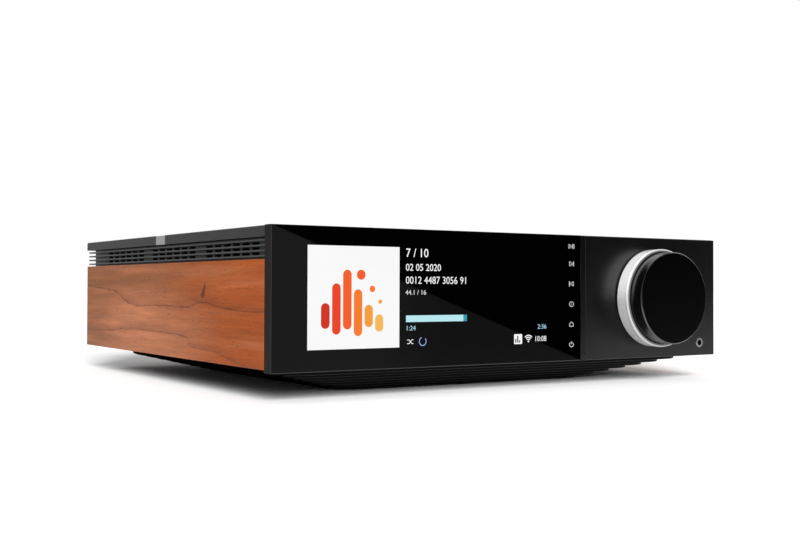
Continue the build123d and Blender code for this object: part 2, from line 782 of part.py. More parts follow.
# Mains inlet: a flanged body with a deep cavity and three blades
inlet_flange = (31.0, 24.0)
inlet_body = (27.0, 20.0)
inlet_cavity = (24.0, 16.4)
inlet_depth = 15.5
inlet_back = rear_front - 17.0
inlet_lip = rear_back + 2.0
blade = (2.0, 4.0)
blade_length = 12.5
blade_places = ((0.0, 2.0), (-7.0, -2.0), (7.0, -2.0))
with BuildPart() as mains_inlet:
    block(around(inlet_x, inlet_flange[0]), (rear_back, inlet_lip), around(inlet_z, inlet_flange[1]))
    chamfer(mains_inlet.faces().sort_by(Axis.Y)[-1].edges(), length=0.8)
    block(around(inlet_x, inlet_body[0]), (inlet_back, rear_back), around(inlet_z, inlet_body[1]))
    cavity_y = (inlet_lip - inlet_depth, inlet_lip)
    block(around(inlet_x, inlet_cavity[0]), cavity_y, around(inlet_z, inlet_cavity[1]), Mode.SUBTRACT)
    for x, z in blade_places:
        block(
            around(inlet_x + x, blade[0]),
            (cavity_y[0], cavity_y[0] + blade_length),
            around(inlet_z + z, blade[1]),
        )
save(mains_inlet, "mains_inlet")

# Mains switch: a housing with trunnion holes, and the rocker that tips in it
rocker_width = 10.4
rocker_height = 16.0
pivot_y = rear_back - 2.0
pin_radius = 1.5
with BuildPart() as mains_switch:
    block(around(inlet_x, 16.0), (rear_back, rear_back + 1.6), around(switch_z, 22.0))
    block(around(inlet_x, 13.6), (rear_front - 15.0, rear_back), around(switch_z, 19.4))
    block(around(inlet_x, 11.2), (rear_back - 9.0, rear_back + 1.6), around(switch_z, 17.4), Mode.SUBTRACT)
    with Locations((inlet_x, pivot_y, switch_z)):
        Cylinder(pin_radius + running_gap, 12.8, rotation=(0, 90, 0), mode=Mode.SUBTRACT)
save(mains_switch, "mains_switch")

with BuildPart() as switch_rocker:
    tilted = Vector(0, 1, 0).rotate(Axis.X, rocker_tilt)
    with BuildSketch(Plane(origin=(inlet_x, pivot_y, switch_z), x_dir=tilted, z_dir=(1, 0, 0))):
        with BuildLine():
            Polyline(
                (-3.4, -2.0),
                (-2.2, -rocker_height / 2),
                (4.4, -rocker_height / 2),
                (3.2, 0.0),
                (4.4, rocker_height / 2),
                (-2.2, rocker_height / 2),
                (-3.4, 2.0),
                close=True,
            )
        make_face()
    extrude(amount=rocker_width / 2, both=True)
    with Locations((inlet_x, pivot_y, switch_z)):
        Cylinder(pin_radius, 12.4, rotation=(0, 90, 0))
save(switch_rocker, "switch_rocker")


# Circuit boards on posts
def board_holes(x, y):
    """The four fixing holes of a board, near its corners."""
    return [
        (column, row)
        for column in (x[0] + board_margin, x[1] - board_margin)
        for row in (y[0] + board_margin, y[1] - board_margin - 12.0)
    ]


all_board_holes = board_holes(main_x, main_y) + board_holes(supply_x, supply_y) + board_holes(amp_x, amp_y)


def bare_board(x, y):
    """A board with its fixing holes, in the piece that is open."""
    block(x, y, (board_bottom, board_top))
    with Locations(*[(column, row, (board_bottom + board_top) / 2) for column, row in board_holes(x, y)]):
        Cylinder(screw_radius, board_thickness, mode=Mode.SUBTRACT)


def component(x, y, tall):
    """A square component on a board, in the piece that is open."""
    block(x, y, (board_top, board_top + tall))


def can(x, y, radius, tall):
    """An upright round component on a board, in the piece that is open."""
    with Locations((x, y, board_top)):
        Cylinder(radius, tall, align=(Align.CENTER, Align.CENTER, Align.MIN))


with BuildPart() as main_board:
    bare_board(main_x, main_y)
    component(*ribbon_connector)
    component(*processor)
    component(*converter)
    for size in main_cans:
        can(*size)
save(main_board, "main_board")

with BuildPart() as streaming_module:
    component(*module_board)
    component(*module_shield)
    chamfer(streaming_module.faces().sort_by(Axis.Z)[-1].edges(), length=shield_break)
save(streaming_module, "streaming_module")

with BuildPart() as amplifier_board:
    bare_board(amp_x, amp_y)
    for chip in amplifier_chips:
        component(*chip)
    for size in amplifier_coils:
        can(*size)
    component(*speaker_connector)
save(amplifier_board, "amplifier_board")

sink_bottom = board_top + amplifier_chips[0][2]
with BuildPart() as heat_sink:
    block(sink_x, sink_y, (sink_bottom, sink_bottom + sink_base))
    with Locations(((sink_x[0] + sink_x[1]) / 2, (sink_y[0] + sink_y[1]) / 2, sink_bottom + sink_base)):
        with GridLocations(sink_fin_pitch, 0, sink_fins, 1):
            Box(
                sink_fin_size[0],
                sink_y[1] - sink_y[0],
                sink_fin_size[1],
                align=(Align.CENTER, Align.CENTER, Align.MIN),
            )
save(heat_sink, "heat_sink")

with BuildPart() as power_supply:
    bare_board(supply_x, supply_y)
    component(*transformer)
    component(*rectifier_plate)
    component(*mains_connector)
    for size in supply_cans:
        can(*size)
save(power_supply, "power_supply")

with BuildPart() as standoffs:
    with Locations(*[(x, y, tray_floor) for x, y in all_board_holes]):
        Cylinder(post_radius, board_bottom - tray_floor, align=(Align.CENTER, Align.CENTER, Align.MIN))
    with Locations(*[(x, y, board_bottom) for x, y in all_board_holes]):
        Cylinder(
            screw_radius,
            screw_length - board_thickness,
            align=(Align.CENTER, Align.CENTER, Align.MAX),
            mode=Mode.SUBTRACT,
        )
save(standoffs, "standoffs")

# The same pan-head screw holds the boards, the brackets and the rear panel
bracket_back = module_back + bracket_thickness
key_board_back = key_board_front + board_thickness
upward_screws = [Plane(origin=(x, y, board_top), z_dir=(0, 0, 1)) for x, y in all_board_holes]
bracket_screws = [Plane(origin=(x, bracket_back, z), z_dir=(0, 1, 0)) for x, z in bracket_screw_places]
key_screws = [Plane(origin=(x, key_board_back, z), z_dir=(0, 1, 0)) for x, z in boss_places]
rear_screws = [Plane(origin=(x, rear_back, z), z_dir=(0, 1, 0)) for x, z in rear_screw_places + lug_screw_places]


def add_screws(planes, length):
    """Screws whose heads sit on the planes, in the piece that is open."""
    with Locations(*[plane.location for plane in planes]):
        Cylinder(screw_head, screw_head_height, align=(Align.CENTER, Align.CENTER, Align.MIN))
        Cylinder(screw_radius, length, align=(Align.CENTER, Align.CENTER, Align.MAX))


with BuildPart() as screws:
    add_screws(upward_screws + key_screws + rear_screws, screw_length)
    add_screws(bracket_screws, screw_length / 2)
save(screws, "screws")

# Rear panel with a cut-out for each socket
with BuildPart() as rear_panel:
    wall_y = (rear_front, rear_back)
    block((-tray_half, tray_half), wall_y, (tray_bottom, cover_bottom))
    for x, outer in ((optical_x, optical_outer), (hdmi_x, hdmi_outer), (usb_x, usb_outer), (network_x, network_outer)):
        block(
            around(x, outer[0] + 2 * cut_out_clearance),
            wall_y,
            around(board_top + outer[1] / 2, outer[1] + 2 * cut_out_clearance),
            Mode.SUBTRACT,
        )
    for x in phono_columns:
        rod(x, wall_y, phono_z, phono_radius + cut_out_clearance, Mode.SUBTRACT)
    for x, z in antenna_places:
        rod(x, wall_y, z, aerial_radius, Mode.SUBTRACT)
    for x in terminal_columns:
        rod(x, wall_y, terminal_z, stud_radius, Mode.SUBTRACT)
    for x, z in rear_screw_places + lug_screw_places:
        rod(x, wall_y, z, screw_radius, Mode.SUBTRACT)
    block(around(inlet_x, inlet_body[0]), wall_y, around(inlet_z, inlet_body[1]), Mode.SUBTRACT)
    block(around(inlet_x, 13.6), wall_y, around(switch_z, 19.4), Mode.SUBTRACT)
save(rear_panel, "rear_panel")

# Flat ribbon from the key board along the tray to the main board
ribbon_x = 46.0
ribbon_width = 18.0
ribbon_thickness = 0.4
ribbon_points = [
    (ribbon_start, 25.5),
    (ribbon_start + 10.0, 25.5),
    (ribbon_start + 22.0, tray_floor + 1.5),
    (main_y[0] - 26.0, tray_floor + 1.5),
    (main_y[0] - 10.0, board_top + 2.0),
    (main_y[0], board_top + 2.0),
]
with BuildPart() as display_ribbon:
    with BuildLine(Plane.YZ.offset(ribbon_x)) as ribbon_path:
        FilletPolyline(*ribbon_points, radius=4.0)
    with BuildSketch(Plane(origin=ribbon_path.line @ 0, x_dir=(1, 0, 0), z_dir=ribbon_path.line % 0)):
        Rectangle(ribbon_width, ribbon_thickness)
    sweep()
save(display_ribbon, "display_ribbon")

# Leads from the speaker terminals to the amplifier board, and from the inlet to the power supply
lead_radius = 1.3
speaker_rows = (-26.0, -16.0, -6.0, 4.0)
speaker_row_y = sum(speaker_connector[1]) / 2
speaker_routes = [
    [
        (terminal_x, stud_inside, terminal_z),
        (terminal_x, stud_inside - 14.0, terminal_z),
        (row_x, 40.0, 50.0),
        (row_x, 14.0, 50.0),
        (row_x, speaker_row_y, 46.0),
        (row_x, speaker_row_y, board_top + speaker_connector[2]),
    ]
    for terminal_x, row_x in zip(terminal_columns, speaker_rows)
]
mains_columns = (-127.0, -117.0)
mains_row_y = sum(mains_connector[1]) / 2
mains_routes = [
    [
        (x, inlet_back, inlet_z),
        (x, inlet_back - 9.0, inlet_z),
        (x, inlet_back - 16.0, inlet_z + 9.0),
        (x, mains_row_y, inlet_z + 9.0),
        (x, mains_row_y, board_top + mains_connector[2]),
    ]
    for x in mains_columns
]
with BuildPart() as internal_leads:
    for route in speaker_routes + mains_routes:
        with BuildLine() as lead_path:
            FilletPolyline(*route, radius=4.0)
        with BuildSketch(Plane(origin=lead_path.line @ 0, z_dir=lead_path.line % 0)):
            Circle(lead_radius)
        sweep()
save(internal_leads, "internal_leads")
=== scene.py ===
import json
import math

import bmesh
import bpy
from mathutils import Matrix, Vector

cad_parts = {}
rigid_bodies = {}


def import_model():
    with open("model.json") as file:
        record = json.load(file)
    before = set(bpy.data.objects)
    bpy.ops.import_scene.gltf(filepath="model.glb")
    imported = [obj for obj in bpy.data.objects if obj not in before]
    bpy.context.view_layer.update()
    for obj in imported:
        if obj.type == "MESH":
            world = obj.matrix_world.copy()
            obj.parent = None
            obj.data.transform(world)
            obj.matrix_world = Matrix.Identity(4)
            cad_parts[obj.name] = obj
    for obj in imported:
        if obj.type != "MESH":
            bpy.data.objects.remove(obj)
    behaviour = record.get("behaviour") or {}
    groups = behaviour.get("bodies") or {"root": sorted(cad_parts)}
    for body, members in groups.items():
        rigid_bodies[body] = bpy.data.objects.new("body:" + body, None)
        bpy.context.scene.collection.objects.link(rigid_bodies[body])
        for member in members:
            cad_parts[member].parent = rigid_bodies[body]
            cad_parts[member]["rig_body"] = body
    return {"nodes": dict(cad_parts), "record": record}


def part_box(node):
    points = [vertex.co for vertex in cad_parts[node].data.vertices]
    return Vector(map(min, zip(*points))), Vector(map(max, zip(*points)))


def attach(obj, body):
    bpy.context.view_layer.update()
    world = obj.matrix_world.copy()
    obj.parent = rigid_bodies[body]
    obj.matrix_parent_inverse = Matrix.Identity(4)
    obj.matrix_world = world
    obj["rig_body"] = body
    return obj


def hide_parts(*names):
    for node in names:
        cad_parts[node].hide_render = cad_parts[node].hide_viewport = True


bl_info = {
    "name": "Network streamer",
    "version": (1, 0, 0),
    "blender": (4, 5, 0),
    "location": "3D View > Sidebar > Streamer",
    "description": "Dresses the packed model of a network music streamer and sets its stage",
    "category": "Object",
}

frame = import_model()
NODES = frame["nodes"]
SLOTS = {part["node"]: part["material_slot"] for part in frame["record"]["subparts"]}

# Measures are in mm where nothing else is said: x to the right, y to the back, z upwards
MM = 0.001
GLASS_FACE = -153.0
REAR_FACE = 138.5
KNOB_X, KNOB_Z = 101.6, 52.0
ICON_X = 36.6
SOCKET_COLUMNS = [10.0 + 14.0 * index for index in range(5)]
SOCKET_Z = 34.0
# Height of a number as a share of the size of its type
CAPITAL_SHARE = 0.70
# Least cosine at a mitred corner, so that a sharp one stays short
SHARPEST_MITRE = 0.3
# Ends, as (x, z), of the slanting line on the front flag that the glass mirrors
SLANT_START, SLANT_END = (-98.95, 96.54), (153.43, 4.81)
# How far the front flag stands before the glass, and where the part of it that the plate mirrors starts
FLAG_GAP, PLATE_START = 120.0, 156.0


class StreamerSizes(bpy.types.PropertyGroup):
    edge_round: bpy.props.FloatProperty(
        name="Edge rounding", description="Rounding on the edges of the case's metal and wood",
        default=0.15 * MM, min=0.02 * MM, max=1.0 * MM, unit="LENGTH", subtype="DISTANCE", precision=5,
    )
    knurl_depth: bpy.props.FloatProperty(
        name="Knurl depth", description="Depth of the grooves between the ring's diamonds",
        default=0.42 * MM, min=0.05 * MM, max=1.0 * MM, unit="LENGTH", subtype="DISTANCE", precision=5,
    )
    knurl_count: bpy.props.IntProperty(
        name="Diamonds round", description="Diamonds in one row round the ring", default=168, min=40, max=260,
    )
    knurl_rows: bpy.props.IntProperty(
        name="Diamond rows", description="Half rows of diamonds along the ring", default=14, min=4, max=30,
    )
    print_depth: bpy.props.FloatProperty(
        name="Screen layer", description="Thickness of the lit shapes on the glass",
        default=0.03 * MM, min=0.01 * MM, max=0.2 * MM, unit="LENGTH", subtype="DISTANCE", precision=5,
    )


class StreamerColours(bpy.types.PropertyGroup):
    walnut_front: bpy.props.FloatVectorProperty(
        name="Walnut, front", description="Colour of the wood near the front",
        default=(0.294, 0.058, 0.0034), min=0.0, max=1.0, subtype="COLOR",
    )
    walnut_rear: bpy.props.FloatVectorProperty(
        name="Walnut, rear", description="Colour of the wood near the back",
        default=(0.230, 0.076, 0.024), min=0.0, max=1.0, subtype="COLOR",
    )
    walnut_pale: bpy.props.FloatVectorProperty(
        name="Walnut, pale", description="Colour of the pale figure in the wood",
        default=(0.507, 0.182, 0.082), min=0.0, max=1.0, subtype="COLOR",
    )
    walnut_line: bpy.props.FloatVectorProperty(
        name="Walnut, lines", description="Colour of the growth lines and pores",
        default=(0.07, 0.015, 0.005), min=0.0, max=1.0, subtype="COLOR",
    )
    case_metal: bpy.props.FloatVectorProperty(
        name="Case metal", description="Colour of the dark anodised cover",
        default=(0.054, 0.054, 0.055), min=0.0, max=1.0, subtype="COLOR",
    )
    fin_metal: bpy.props.FloatVectorProperty(
        name="Fin metal", description="Colour of the dark anodised fins",
        default=(0.090, 0.090, 0.091), min=0.0, max=1.0, subtype="COLOR",
    )
    front_metal: bpy.props.FloatVectorProperty(
        name="Control plate", description="Colour of the satin black plate round the knobs",
        default=(0.046, 0.046, 0.047), min=0.0, max=1.0, subtype="COLOR",
    )
    ring_metal: bpy.props.FloatVectorProperty(
        name="Ring metal", description="Colour of the bright knurled ring",
        default=(0.60, 0.60, 0.60), min=0.0, max=1.0, subtype="COLOR",
    )
    screen_white: bpy.props.FloatVectorProperty(
        name="Screen white", description="Colour of the lit numbers and of the picture's ground",
        default=(0.94, 0.94, 0.95), min=0.0, max=1.0, subtype="COLOR",
    )


class StreamerLight(bpy.types.PropertyGroup):
    sky: bpy.props.FloatProperty(
        name="Sky", description="Strength of the light from all round", default=0.38, min=0.0, max=1.0,
    )
    lamp: bpy.props.FloatProperty(
        name="Lamp", description="Strength of the low lamp in front", default=5.0, min=0.0, max=9.0,
    )
    lamp_spread: bpy.props.FloatProperty(
        name="Lamp spread", description="How wide the lamp looks from the object, which softens the shadow",
        default=math.radians(26.0), min=0.0, max=math.pi, subtype="ANGLE",
    )
    floor_white: bpy.props.FloatProperty(
        name="Floor white", description="How white the camera sees the floor", default=1.14, min=0.0, max=2.0,
    )
    flag_tone: bpy.props.FloatProperty(
        name="Flag tone", description="Grey of the front flag's lower half, which the glass mirrors",
        default=0.26, min=0.0, max=1.0,
    )
    side_tone: bpy.props.FloatProperty(
        name="Side tone", description="Grey of the flag that the case's left side mirrors",
        default=0.45, min=0.0, max=1.0,
    )


# Finding, selecting and making pieces


def calm():
    """Object mode, with nothing selected."""
    if bpy.context.mode != "OBJECT":
        bpy.ops.object.mode_set(mode="OBJECT")
    bpy.ops.object.select_all(action="DESELECT")


def pick(piece):
    calm()
    piece.select_set(True)
    bpy.context.view_layer.objects.active = piece


def new_piece(name, shape):
    mesh = bpy.data.meshes.new(name)
    shape.to_mesh(mesh)
    shape.free()
    piece = bpy.data.objects.new(name, mesh)
    bpy.context.scene.collection.objects.link(piece)
    return piece


def settle(piece, body, finish):
    """Gives a piece its body and its material."""
    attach(piece, body)
    piece.data.materials.clear()
    piece.data.materials.append(finish)
    return piece


def apply_modifiers(piece):
    pick(piece)
    for modifier in list(piece.modifiers):
        bpy.ops.object.modifier_apply(modifier=modifier.name)


def round_edges(piece, width, segments, angle):
    bevel = piece.modifiers.new("Edges", "BEVEL")
    bevel.width = width
    bevel.segments = segments
    bevel.limit_method = "ANGLE"
    bevel.angle_limit = math.radians(angle)
    apply_modifiers(piece)


def smooth(piece, angle=35.0):
    """Shades a piece smooth, with large flat faces kept flat up to their rounded edges."""
    pick(piece)
    bpy.ops.object.shade_smooth_by_angle(angle=math.radians(angle))
    even = piece.modifiers.new("Even shading", "WEIGHTED_NORMAL")
    even.mode = "FACE_AREA"
    even.weight = 90
    even.keep_sharp = True
    apply_modifiers(piece)


def paint(piece, finishes, choose):
    """Gives each face the finish whose number choose picks from the face's centre in mm and its normal."""
    piece.data.materials.clear()
    for finish in finishes:
        piece.data.materials.append(finish)
    for face in piece.data.polygons:
        face.material_index = choose(face.center / MM, face.normal)


def merged(mesh, distance):
    """A working copy of a mesh, with corners closer than distance in mm merged."""
    shape = bmesh.new()
    shape.from_mesh(mesh)
    bmesh.ops.remove_doubles(shape, verts=shape.verts, dist=distance * MM)
    return shape


def thicken(shape, faces, push):
    """Pushes flat faces along Y and keeps them where they were too, with walls between."""
    grown = bmesh.ops.extrude_face_region(shape, geom=faces)
    raised = [item for item in grown["geom"] if isinstance(item, bmesh.types.BMVert)]
    bmesh.ops.translate(shape, verts=raised, vec=(0.0, push, 0.0))


def mend(piece, distance):
    """Merges corners closer than distance in mm and turns the faces outwards."""
    pick(piece)
    bpy.ops.object.mode_set(mode="EDIT")
    bpy.ops.mesh.select_all(action="SELECT")
    bpy.ops.mesh.remove_doubles(threshold=distance * MM)
    bpy.ops.mesh.normals_make_consistent(inside=False)
    bpy.ops.object.mode_set(mode="OBJECT")


def off_axis(point):
    """Distance from the axis of the two knobs."""
    return math.hypot(point.x - KNOB_X, point.z - KNOB_Z)


def dress(node, width=None, finish=None, segments=2, angle=30.0):
    """Copies a CAD node, joins its loose triangles, rounds its edges and lets the copy stand for it.

    Without a width the rounding is edge_round, and without a finish the copy gets the one of its slot.
    """
    shape = merged(NODES[node].data, 0.002)
    bmesh.ops.dissolve_limit(
        shape, angle_limit=math.radians(0.6), use_dissolve_boundaries=False, verts=shape.verts, edges=shape.edges,
    )
    piece = new_piece(node + "_finished", shape)
    reach = bpy.context.scene.streamer_sizes.edge_round if width is None else width * MM
    if reach > 0:
        round_edges(piece, reach, segments, angle)
    smooth(piece)
    settle(piece, NODES[node]["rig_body"], finish or bpy.data.materials[SLOTS[node]])
    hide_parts(node)
    return piece


def lathe(name, profile, centre, steps):
    """Spins a profile of (radius, y) in mm round the line along Y through centre (x, z)."""
    shape = bmesh.new()
    closed = profile[0] == profile[-1]
    points = profile[:-1] if closed else profile
    corners = [shape.verts.new(((centre[0] + r) * MM, y * MM, centre[1] * MM)) for r, y in points]
    for first, second in zip(corners, corners[1:]):
        shape.edges.new((first, second))
    if closed:
        shape.edges.new((corners[-1], corners[0]))
    piece = new_piece(name, shape)
    pick(piece)
    bpy.ops.object.mode_set(mode="EDIT")
    bpy.ops.mesh.select_all(action="SELECT")
    bpy.ops.mesh.spin(
        steps=steps, angle=2 * math.pi, center=(centre[0] * MM, 0.0, centre[1] * MM), axis=(0.0, 1.0, 0.0),
    )
    bpy.ops.object.mode_set(mode="OBJECT")
    mend(piece, 0.001)
    return piece


def strip(points, width, closed=False):
    """Four-cornered faces along a line of (x, z) points, with mitred corners."""
    count = len(points)
    sides = []
    for index, (x, z) in enumerate(points):
        normals = []
        for start, end in ((index - 1, index), (index, index + 1)):
            if closed or (start >= 0 and end < count):
                (x1, z1), (x2, z2) = points[start % count], points[end % count]
                length = math.hypot(x2 - x1, z2 - z1)
                normals.append(((z1 - z2) / length, (x2 - x1) / length))
        nx, nz = (sum(parts) for parts in zip(*normals))
        length = math.hypot(nx, nz)
        nx, nz = nx / length, nz / length
        reach = width / 2 / max(nx * normals[0][0] + nz * normals[0][1], SHARPEST_MITRE)
        sides.append(((x + nx * reach, z + nz * reach), (x - nx * reach, z - nz * reach)))
    following = sides[1:] + sides[:1] if closed else sides[1:]
    return [[first[0], first[1], second[1], second[0]] for first, second in zip(sides, following)]


def arc(x, z, radius, start=0.0, end=360.0, steps=28):
    """Points along an arc, or round a circle without its first point again."""
    count = steps if abs(end - start) >= 360.0 else steps + 1
    angles = [math.radians(start + (end - start) * i / steps) for i in range(count)]
    return [(x + radius * math.cos(angle), z + radius * math.sin(angle)) for angle in angles]


def rectangle(left, right, bottom, top):
    return [(left, bottom), (right, bottom), (right, top), (left, top)]


def rounded(left, right, bottom, top, radius):
    """The outline of a rectangle with round corners."""
    left, right, bottom, top = left + radius, right - radius, bottom + radius, top - radius
    points = []
    for turn, (x, z) in enumerate(((right, top), (left, top), (left, bottom), (right, bottom))):
        points += arc(x, z, radius, 90.0 * turn, 90.0 * (turn + 1), 8)
    return points


def lit_shape(name, faces, finish, layer=1, back=GLASS_FACE):
    """Stands flat faces of (x, z) points on the glass, one screen layer thick. Higher layers stand further out."""
    depth = bpy.context.scene.streamer_sizes.print_depth
    shape = bmesh.new()
    for points in faces:
        shape.faces.new([shape.verts.new((x * MM, back * MM - depth * layer, z * MM)) for x, z in points])
    bmesh.ops.remove_doubles(shape, verts=shape.verts, dist=0.001 * MM)
    thicken(shape, list(shape.faces), depth)
    bmesh.ops.recalc_face_normals(shape, faces=shape.faces)
    return settle(new_piece(name, shape), "chassis", finish)


def number(name, words, x, z, height, finish, weight, stretch=1.0, align="LEFT", back=GLASS_FACE, turn=0.0):
    """Sets numbers with their feet at z and their left, middle or right at x, in mm."""
    depth = bpy.context.scene.streamer_sizes.print_depth
    calm()
    bpy.ops.object.text_add(location=(0, 0, 0))
    lettering = bpy.context.object.data
    lettering.body = words
    lettering.align_x = align
    lettering.size = height * MM / CAPITAL_SHARE
    lettering.offset = weight * MM
    lettering.extrude = depth / 2
    lettering.resolution_u = 4
    bpy.ops.object.convert(target="MESH")
    piece = bpy.context.object
    piece.name = name
    piece.data.name = name
    out = -1.0 if turn == 0.0 else 1.0
    place = (
        Matrix.Translation((x * MM, back * MM + out * depth / 2, z * MM))
        @ Matrix.Rotation(math.radians(turn), 4, "Z")
        @ Matrix.Rotation(math.radians(90.0), 4, "X")
        @ Matrix.Diagonal((stretch, 1.0, 1.0, 1.0))
    )
    piece.data.transform(place)
    shape = merged(piece.data, 0.001)
    bmesh.ops.recalc_face_normals(shape, faces=shape.faces)
    shape.to_mesh(piece.data)
    shape.free()
    return settle(piece, "chassis", finish)


# Shader groups and materials


class Wiring:
    """Adds and joins nodes in one node tree."""

    def __init__(self, tree):
        self.tree = tree

    def node(self, kind, values=None, **settings):
        made = self.tree.nodes.new(kind)
        for name, value in settings.items():
            setattr(made, name, value)
        self.fill(made, values or {})
        return made

    def fill(self, node, values):
        for key, value in values.items():
            self.feed(node.inputs[key], value)

    def feed(self, socket, value):
        if isinstance(value, bpy.types.NodeSocket):
            self.tree.links.new(value, socket)
        else:
            socket.default_value = value

    def math(self, operation, first, second=0.0, third=0.0, clamp=False):
        values = {0: first, 1: second, 2: third}
        return self.node("ShaderNodeMath", values, operation=operation, use_clamp=clamp).outputs[0]

    def add(self, first, second):
        return self.math("ADD", first, second)

    def less(self, first, second):
        return self.math("SUBTRACT", first, second)

    def times(self, first, second):
        return self.math("MULTIPLY", first, second)

    def times_add(self, first, second, third, clamp=False):
        return self.math("MULTIPLY_ADD", first, second, third, clamp)

    def sway(self, noise, width, middle):
        """The middle, moved to both sides of it by a noise."""
        return self.times_add(self.less(noise, 0.5), width, middle)

    def mix(self, share, first, second):
        return self.node("ShaderNodeMix", {0: share, 6: first, 7: second}, data_type="RGBA").outputs[2]

    def scaled(self, vector, factor):
        return self.node("ShaderNodeVectorMath", {0: vector, 3: factor}, operation="SCALE").outputs[0]

    def point(self, x, y, z):
        return self.node("ShaderNodeCombineXYZ", {0: x, 1: y, 2: z}).outputs[0]

    def place(self):
        """Object coordinates, in m."""
        return self.node("ShaderNodeTexCoord").outputs["Object"]

    def noise(self, vector, scale, detail=2.0, roughness=0.5):
        values = {"Vector": vector, "Scale": scale, "Detail": detail, "Roughness": roughness}
        return self.node("ShaderNodeTexNoise", values).outputs[0]

    def ramp(self, value, low, high):
        """0 at low, 1 at high, smooth between."""
        limits = {0: value, 1: low, 2: high, 3: 0.0, 4: 1.0}
        return self.node("ShaderNodeMapRange", limits, interpolation_type="SMOOTHSTEP").outputs[0]

    def fall(self, value, low, high):
        """1 at low, 0 at high, smooth between."""
        return self.less(1.0, self.ramp(value, low, high))

    def near(self, value, low, high):
        """1 where the value is near 0, fading from low to high on both sides."""
        return self.fall(self.math("ABSOLUTE", value), low, high)

    def spot(self, first, second, middle, reach):
        """1 at the middle of an oval, fading to 0 at its edge."""
        parts = [
            self.math("DIVIDE", self.less(value, centre), radius)
            for value, centre, radius in zip((first, second), middle, reach)
        ]
        return self.fall(self.add(*[self.times(part, part) for part in parts]), 0.0, 1.0)


def shader_group(name, inputs, outputs):
    tree = bpy.data.node_groups.new(name, "ShaderNodeTree")
    for label, kind, value in inputs:
        socket = tree.interface.new_socket(label, in_out="INPUT", socket_type=kind)
        socket.default_value = value
    for label, kind in outputs:
        tree.interface.new_socket(label, in_out="OUTPUT", socket_type=kind)
    wires = Wiring(tree)
    return wires, wires.node("NodeGroupInput").outputs, wires.node("NodeGroupOutput").inputs


def grain_group():
    """Fine tone, gloss and surface grain for metal, plastic, rubber and boards."""
    name = "Surface grain"
    if name in bpy.data.node_groups:
        return bpy.data.node_groups[name]
    wires, given, result = shader_group(
        name,
        [
            ("Colour", "NodeSocketColor", (0.5, 0.5, 0.5, 1.0)),
            ("Tone", "NodeSocketFloat", 0.1),
            ("Roughness", "NodeSocketFloat", 0.4),
            ("Spread", "NodeSocketFloat", 0.08),
            ("Size", "NodeSocketFloat", 1200.0),
            ("Stretch", "NodeSocketVector", (1.0, 1.0, 1.0)),
            ("Height", "NodeSocketFloat", 0.00001),
        ],
        [("Colour", "NodeSocketColor"), ("Roughness", "NodeSocketFloat"), ("Normal", "NodeSocketVector")],
    )
    place = wires.place()
    drawn = wires.node("ShaderNodeVectorMath", {0: place, 1: given["Stretch"]}, operation="MULTIPLY").outputs[0]
    fine = wires.noise(drawn, given["Size"], 3.0)
    broad = wires.noise(place, 22.0)
    broad_share, fine_share = 0.6, 0.8
    both = wires.times_add(broad, broad_share, wires.times(fine, fine_share))
    swing = wires.less(both, (broad_share + fine_share) / 2)
    shade = wires.times_add(swing, given["Tone"], 1.0)
    tinted = wires.scaled(given["Colour"], shade)
    rough = wires.times_add(swing, given["Spread"], given["Roughness"], clamp=True)
    bump = wires.node("ShaderNodeBump", {"Height": fine, "Distance": given["Height"], "Strength": 1.0})
    wires.feed(result["Colour"], tinted)
    wires.feed(result["Roughness"], rough)
    wires.feed(result["Normal"], bump.outputs[0])
    return wires.tree


def bare(name):
    """A new material with an empty node tree, and its wiring."""
    finish = bpy.data.materials.new(name)
    finish.use_nodes = True
    finish.node_tree.nodes.clear()
    return finish, Wiring(finish.node_tree)


def blank(name):
    """A new material with nothing but a Principled shader, its wiring and that shader."""
    finish, wires = bare(name)
    shader = wires.node("ShaderNodeBsdfPrincipled")
    wires.node("ShaderNodeOutputMaterial", {"Surface": shader.outputs[0]})
    return finish, wires, shader


def grained(name, colour, metallic, roughness, tone, spread, size, stretch=(1, 1, 1), height=0.004, specular=0.5,
            coat=0.0, glow=None):
    """A material on the surface grain group. height is that of the grain, in mm."""
    if name in bpy.data.materials:
        return bpy.data.materials[name]
    finish, wires, shader = blank(name)
    values = {
        "Colour": (*colour, 1.0), "Tone": tone, "Roughness": roughness, "Spread": spread, "Size": size,
        "Stretch": stretch, "Height": height * MM,
    }
    grain = wires.node("ShaderNodeGroup", values, node_tree=grain_group()).outputs
    wires.fill(shader, {
        "Base Color": grain["Colour"], "Roughness": grain["Roughness"], "Metallic": metallic,
        "Specular IOR Level": specular, "Coat Weight": coat,
    })
    if height > 0:
        wires.feed(shader.inputs["Normal"], grain["Normal"])
    if glow is not None:
        wires.fill(shader, {"Emission Color": (*glow, 1.0), "Emission Strength": 1.0})
    return finish


# Two growth lines of the wood, as (y, height)
UPPER_LINE = [
    (-145.6, 45.7), (-120.0, 45.6), (-89.7, 47.2), (-66.6, 49.3), (-46.4, 46.4), (-4.1, 46.9), (39.6, 46.2),
    (58.5, 49.2), (74.3, 54.3), (118.5, 57.5), (138.0, 58.4),
]
LOWER_LINE = [
    (-145.6, 15.0), (-104.3, 19.9), (-88.8, 22.5), (-59.9, 23.8), (-49.7, 25.3), (-46.7, 28.8), (-39.2, 30.2),
    (-15.8, 30.5), (21.2, 31.0), (54.2, 31.2), (85.8, 28.8), (138.0, 27.8),
]
WOOD_START, WOOD_LENGTH, WOOD_HEIGHT = -146.0, 285.0, 80.0


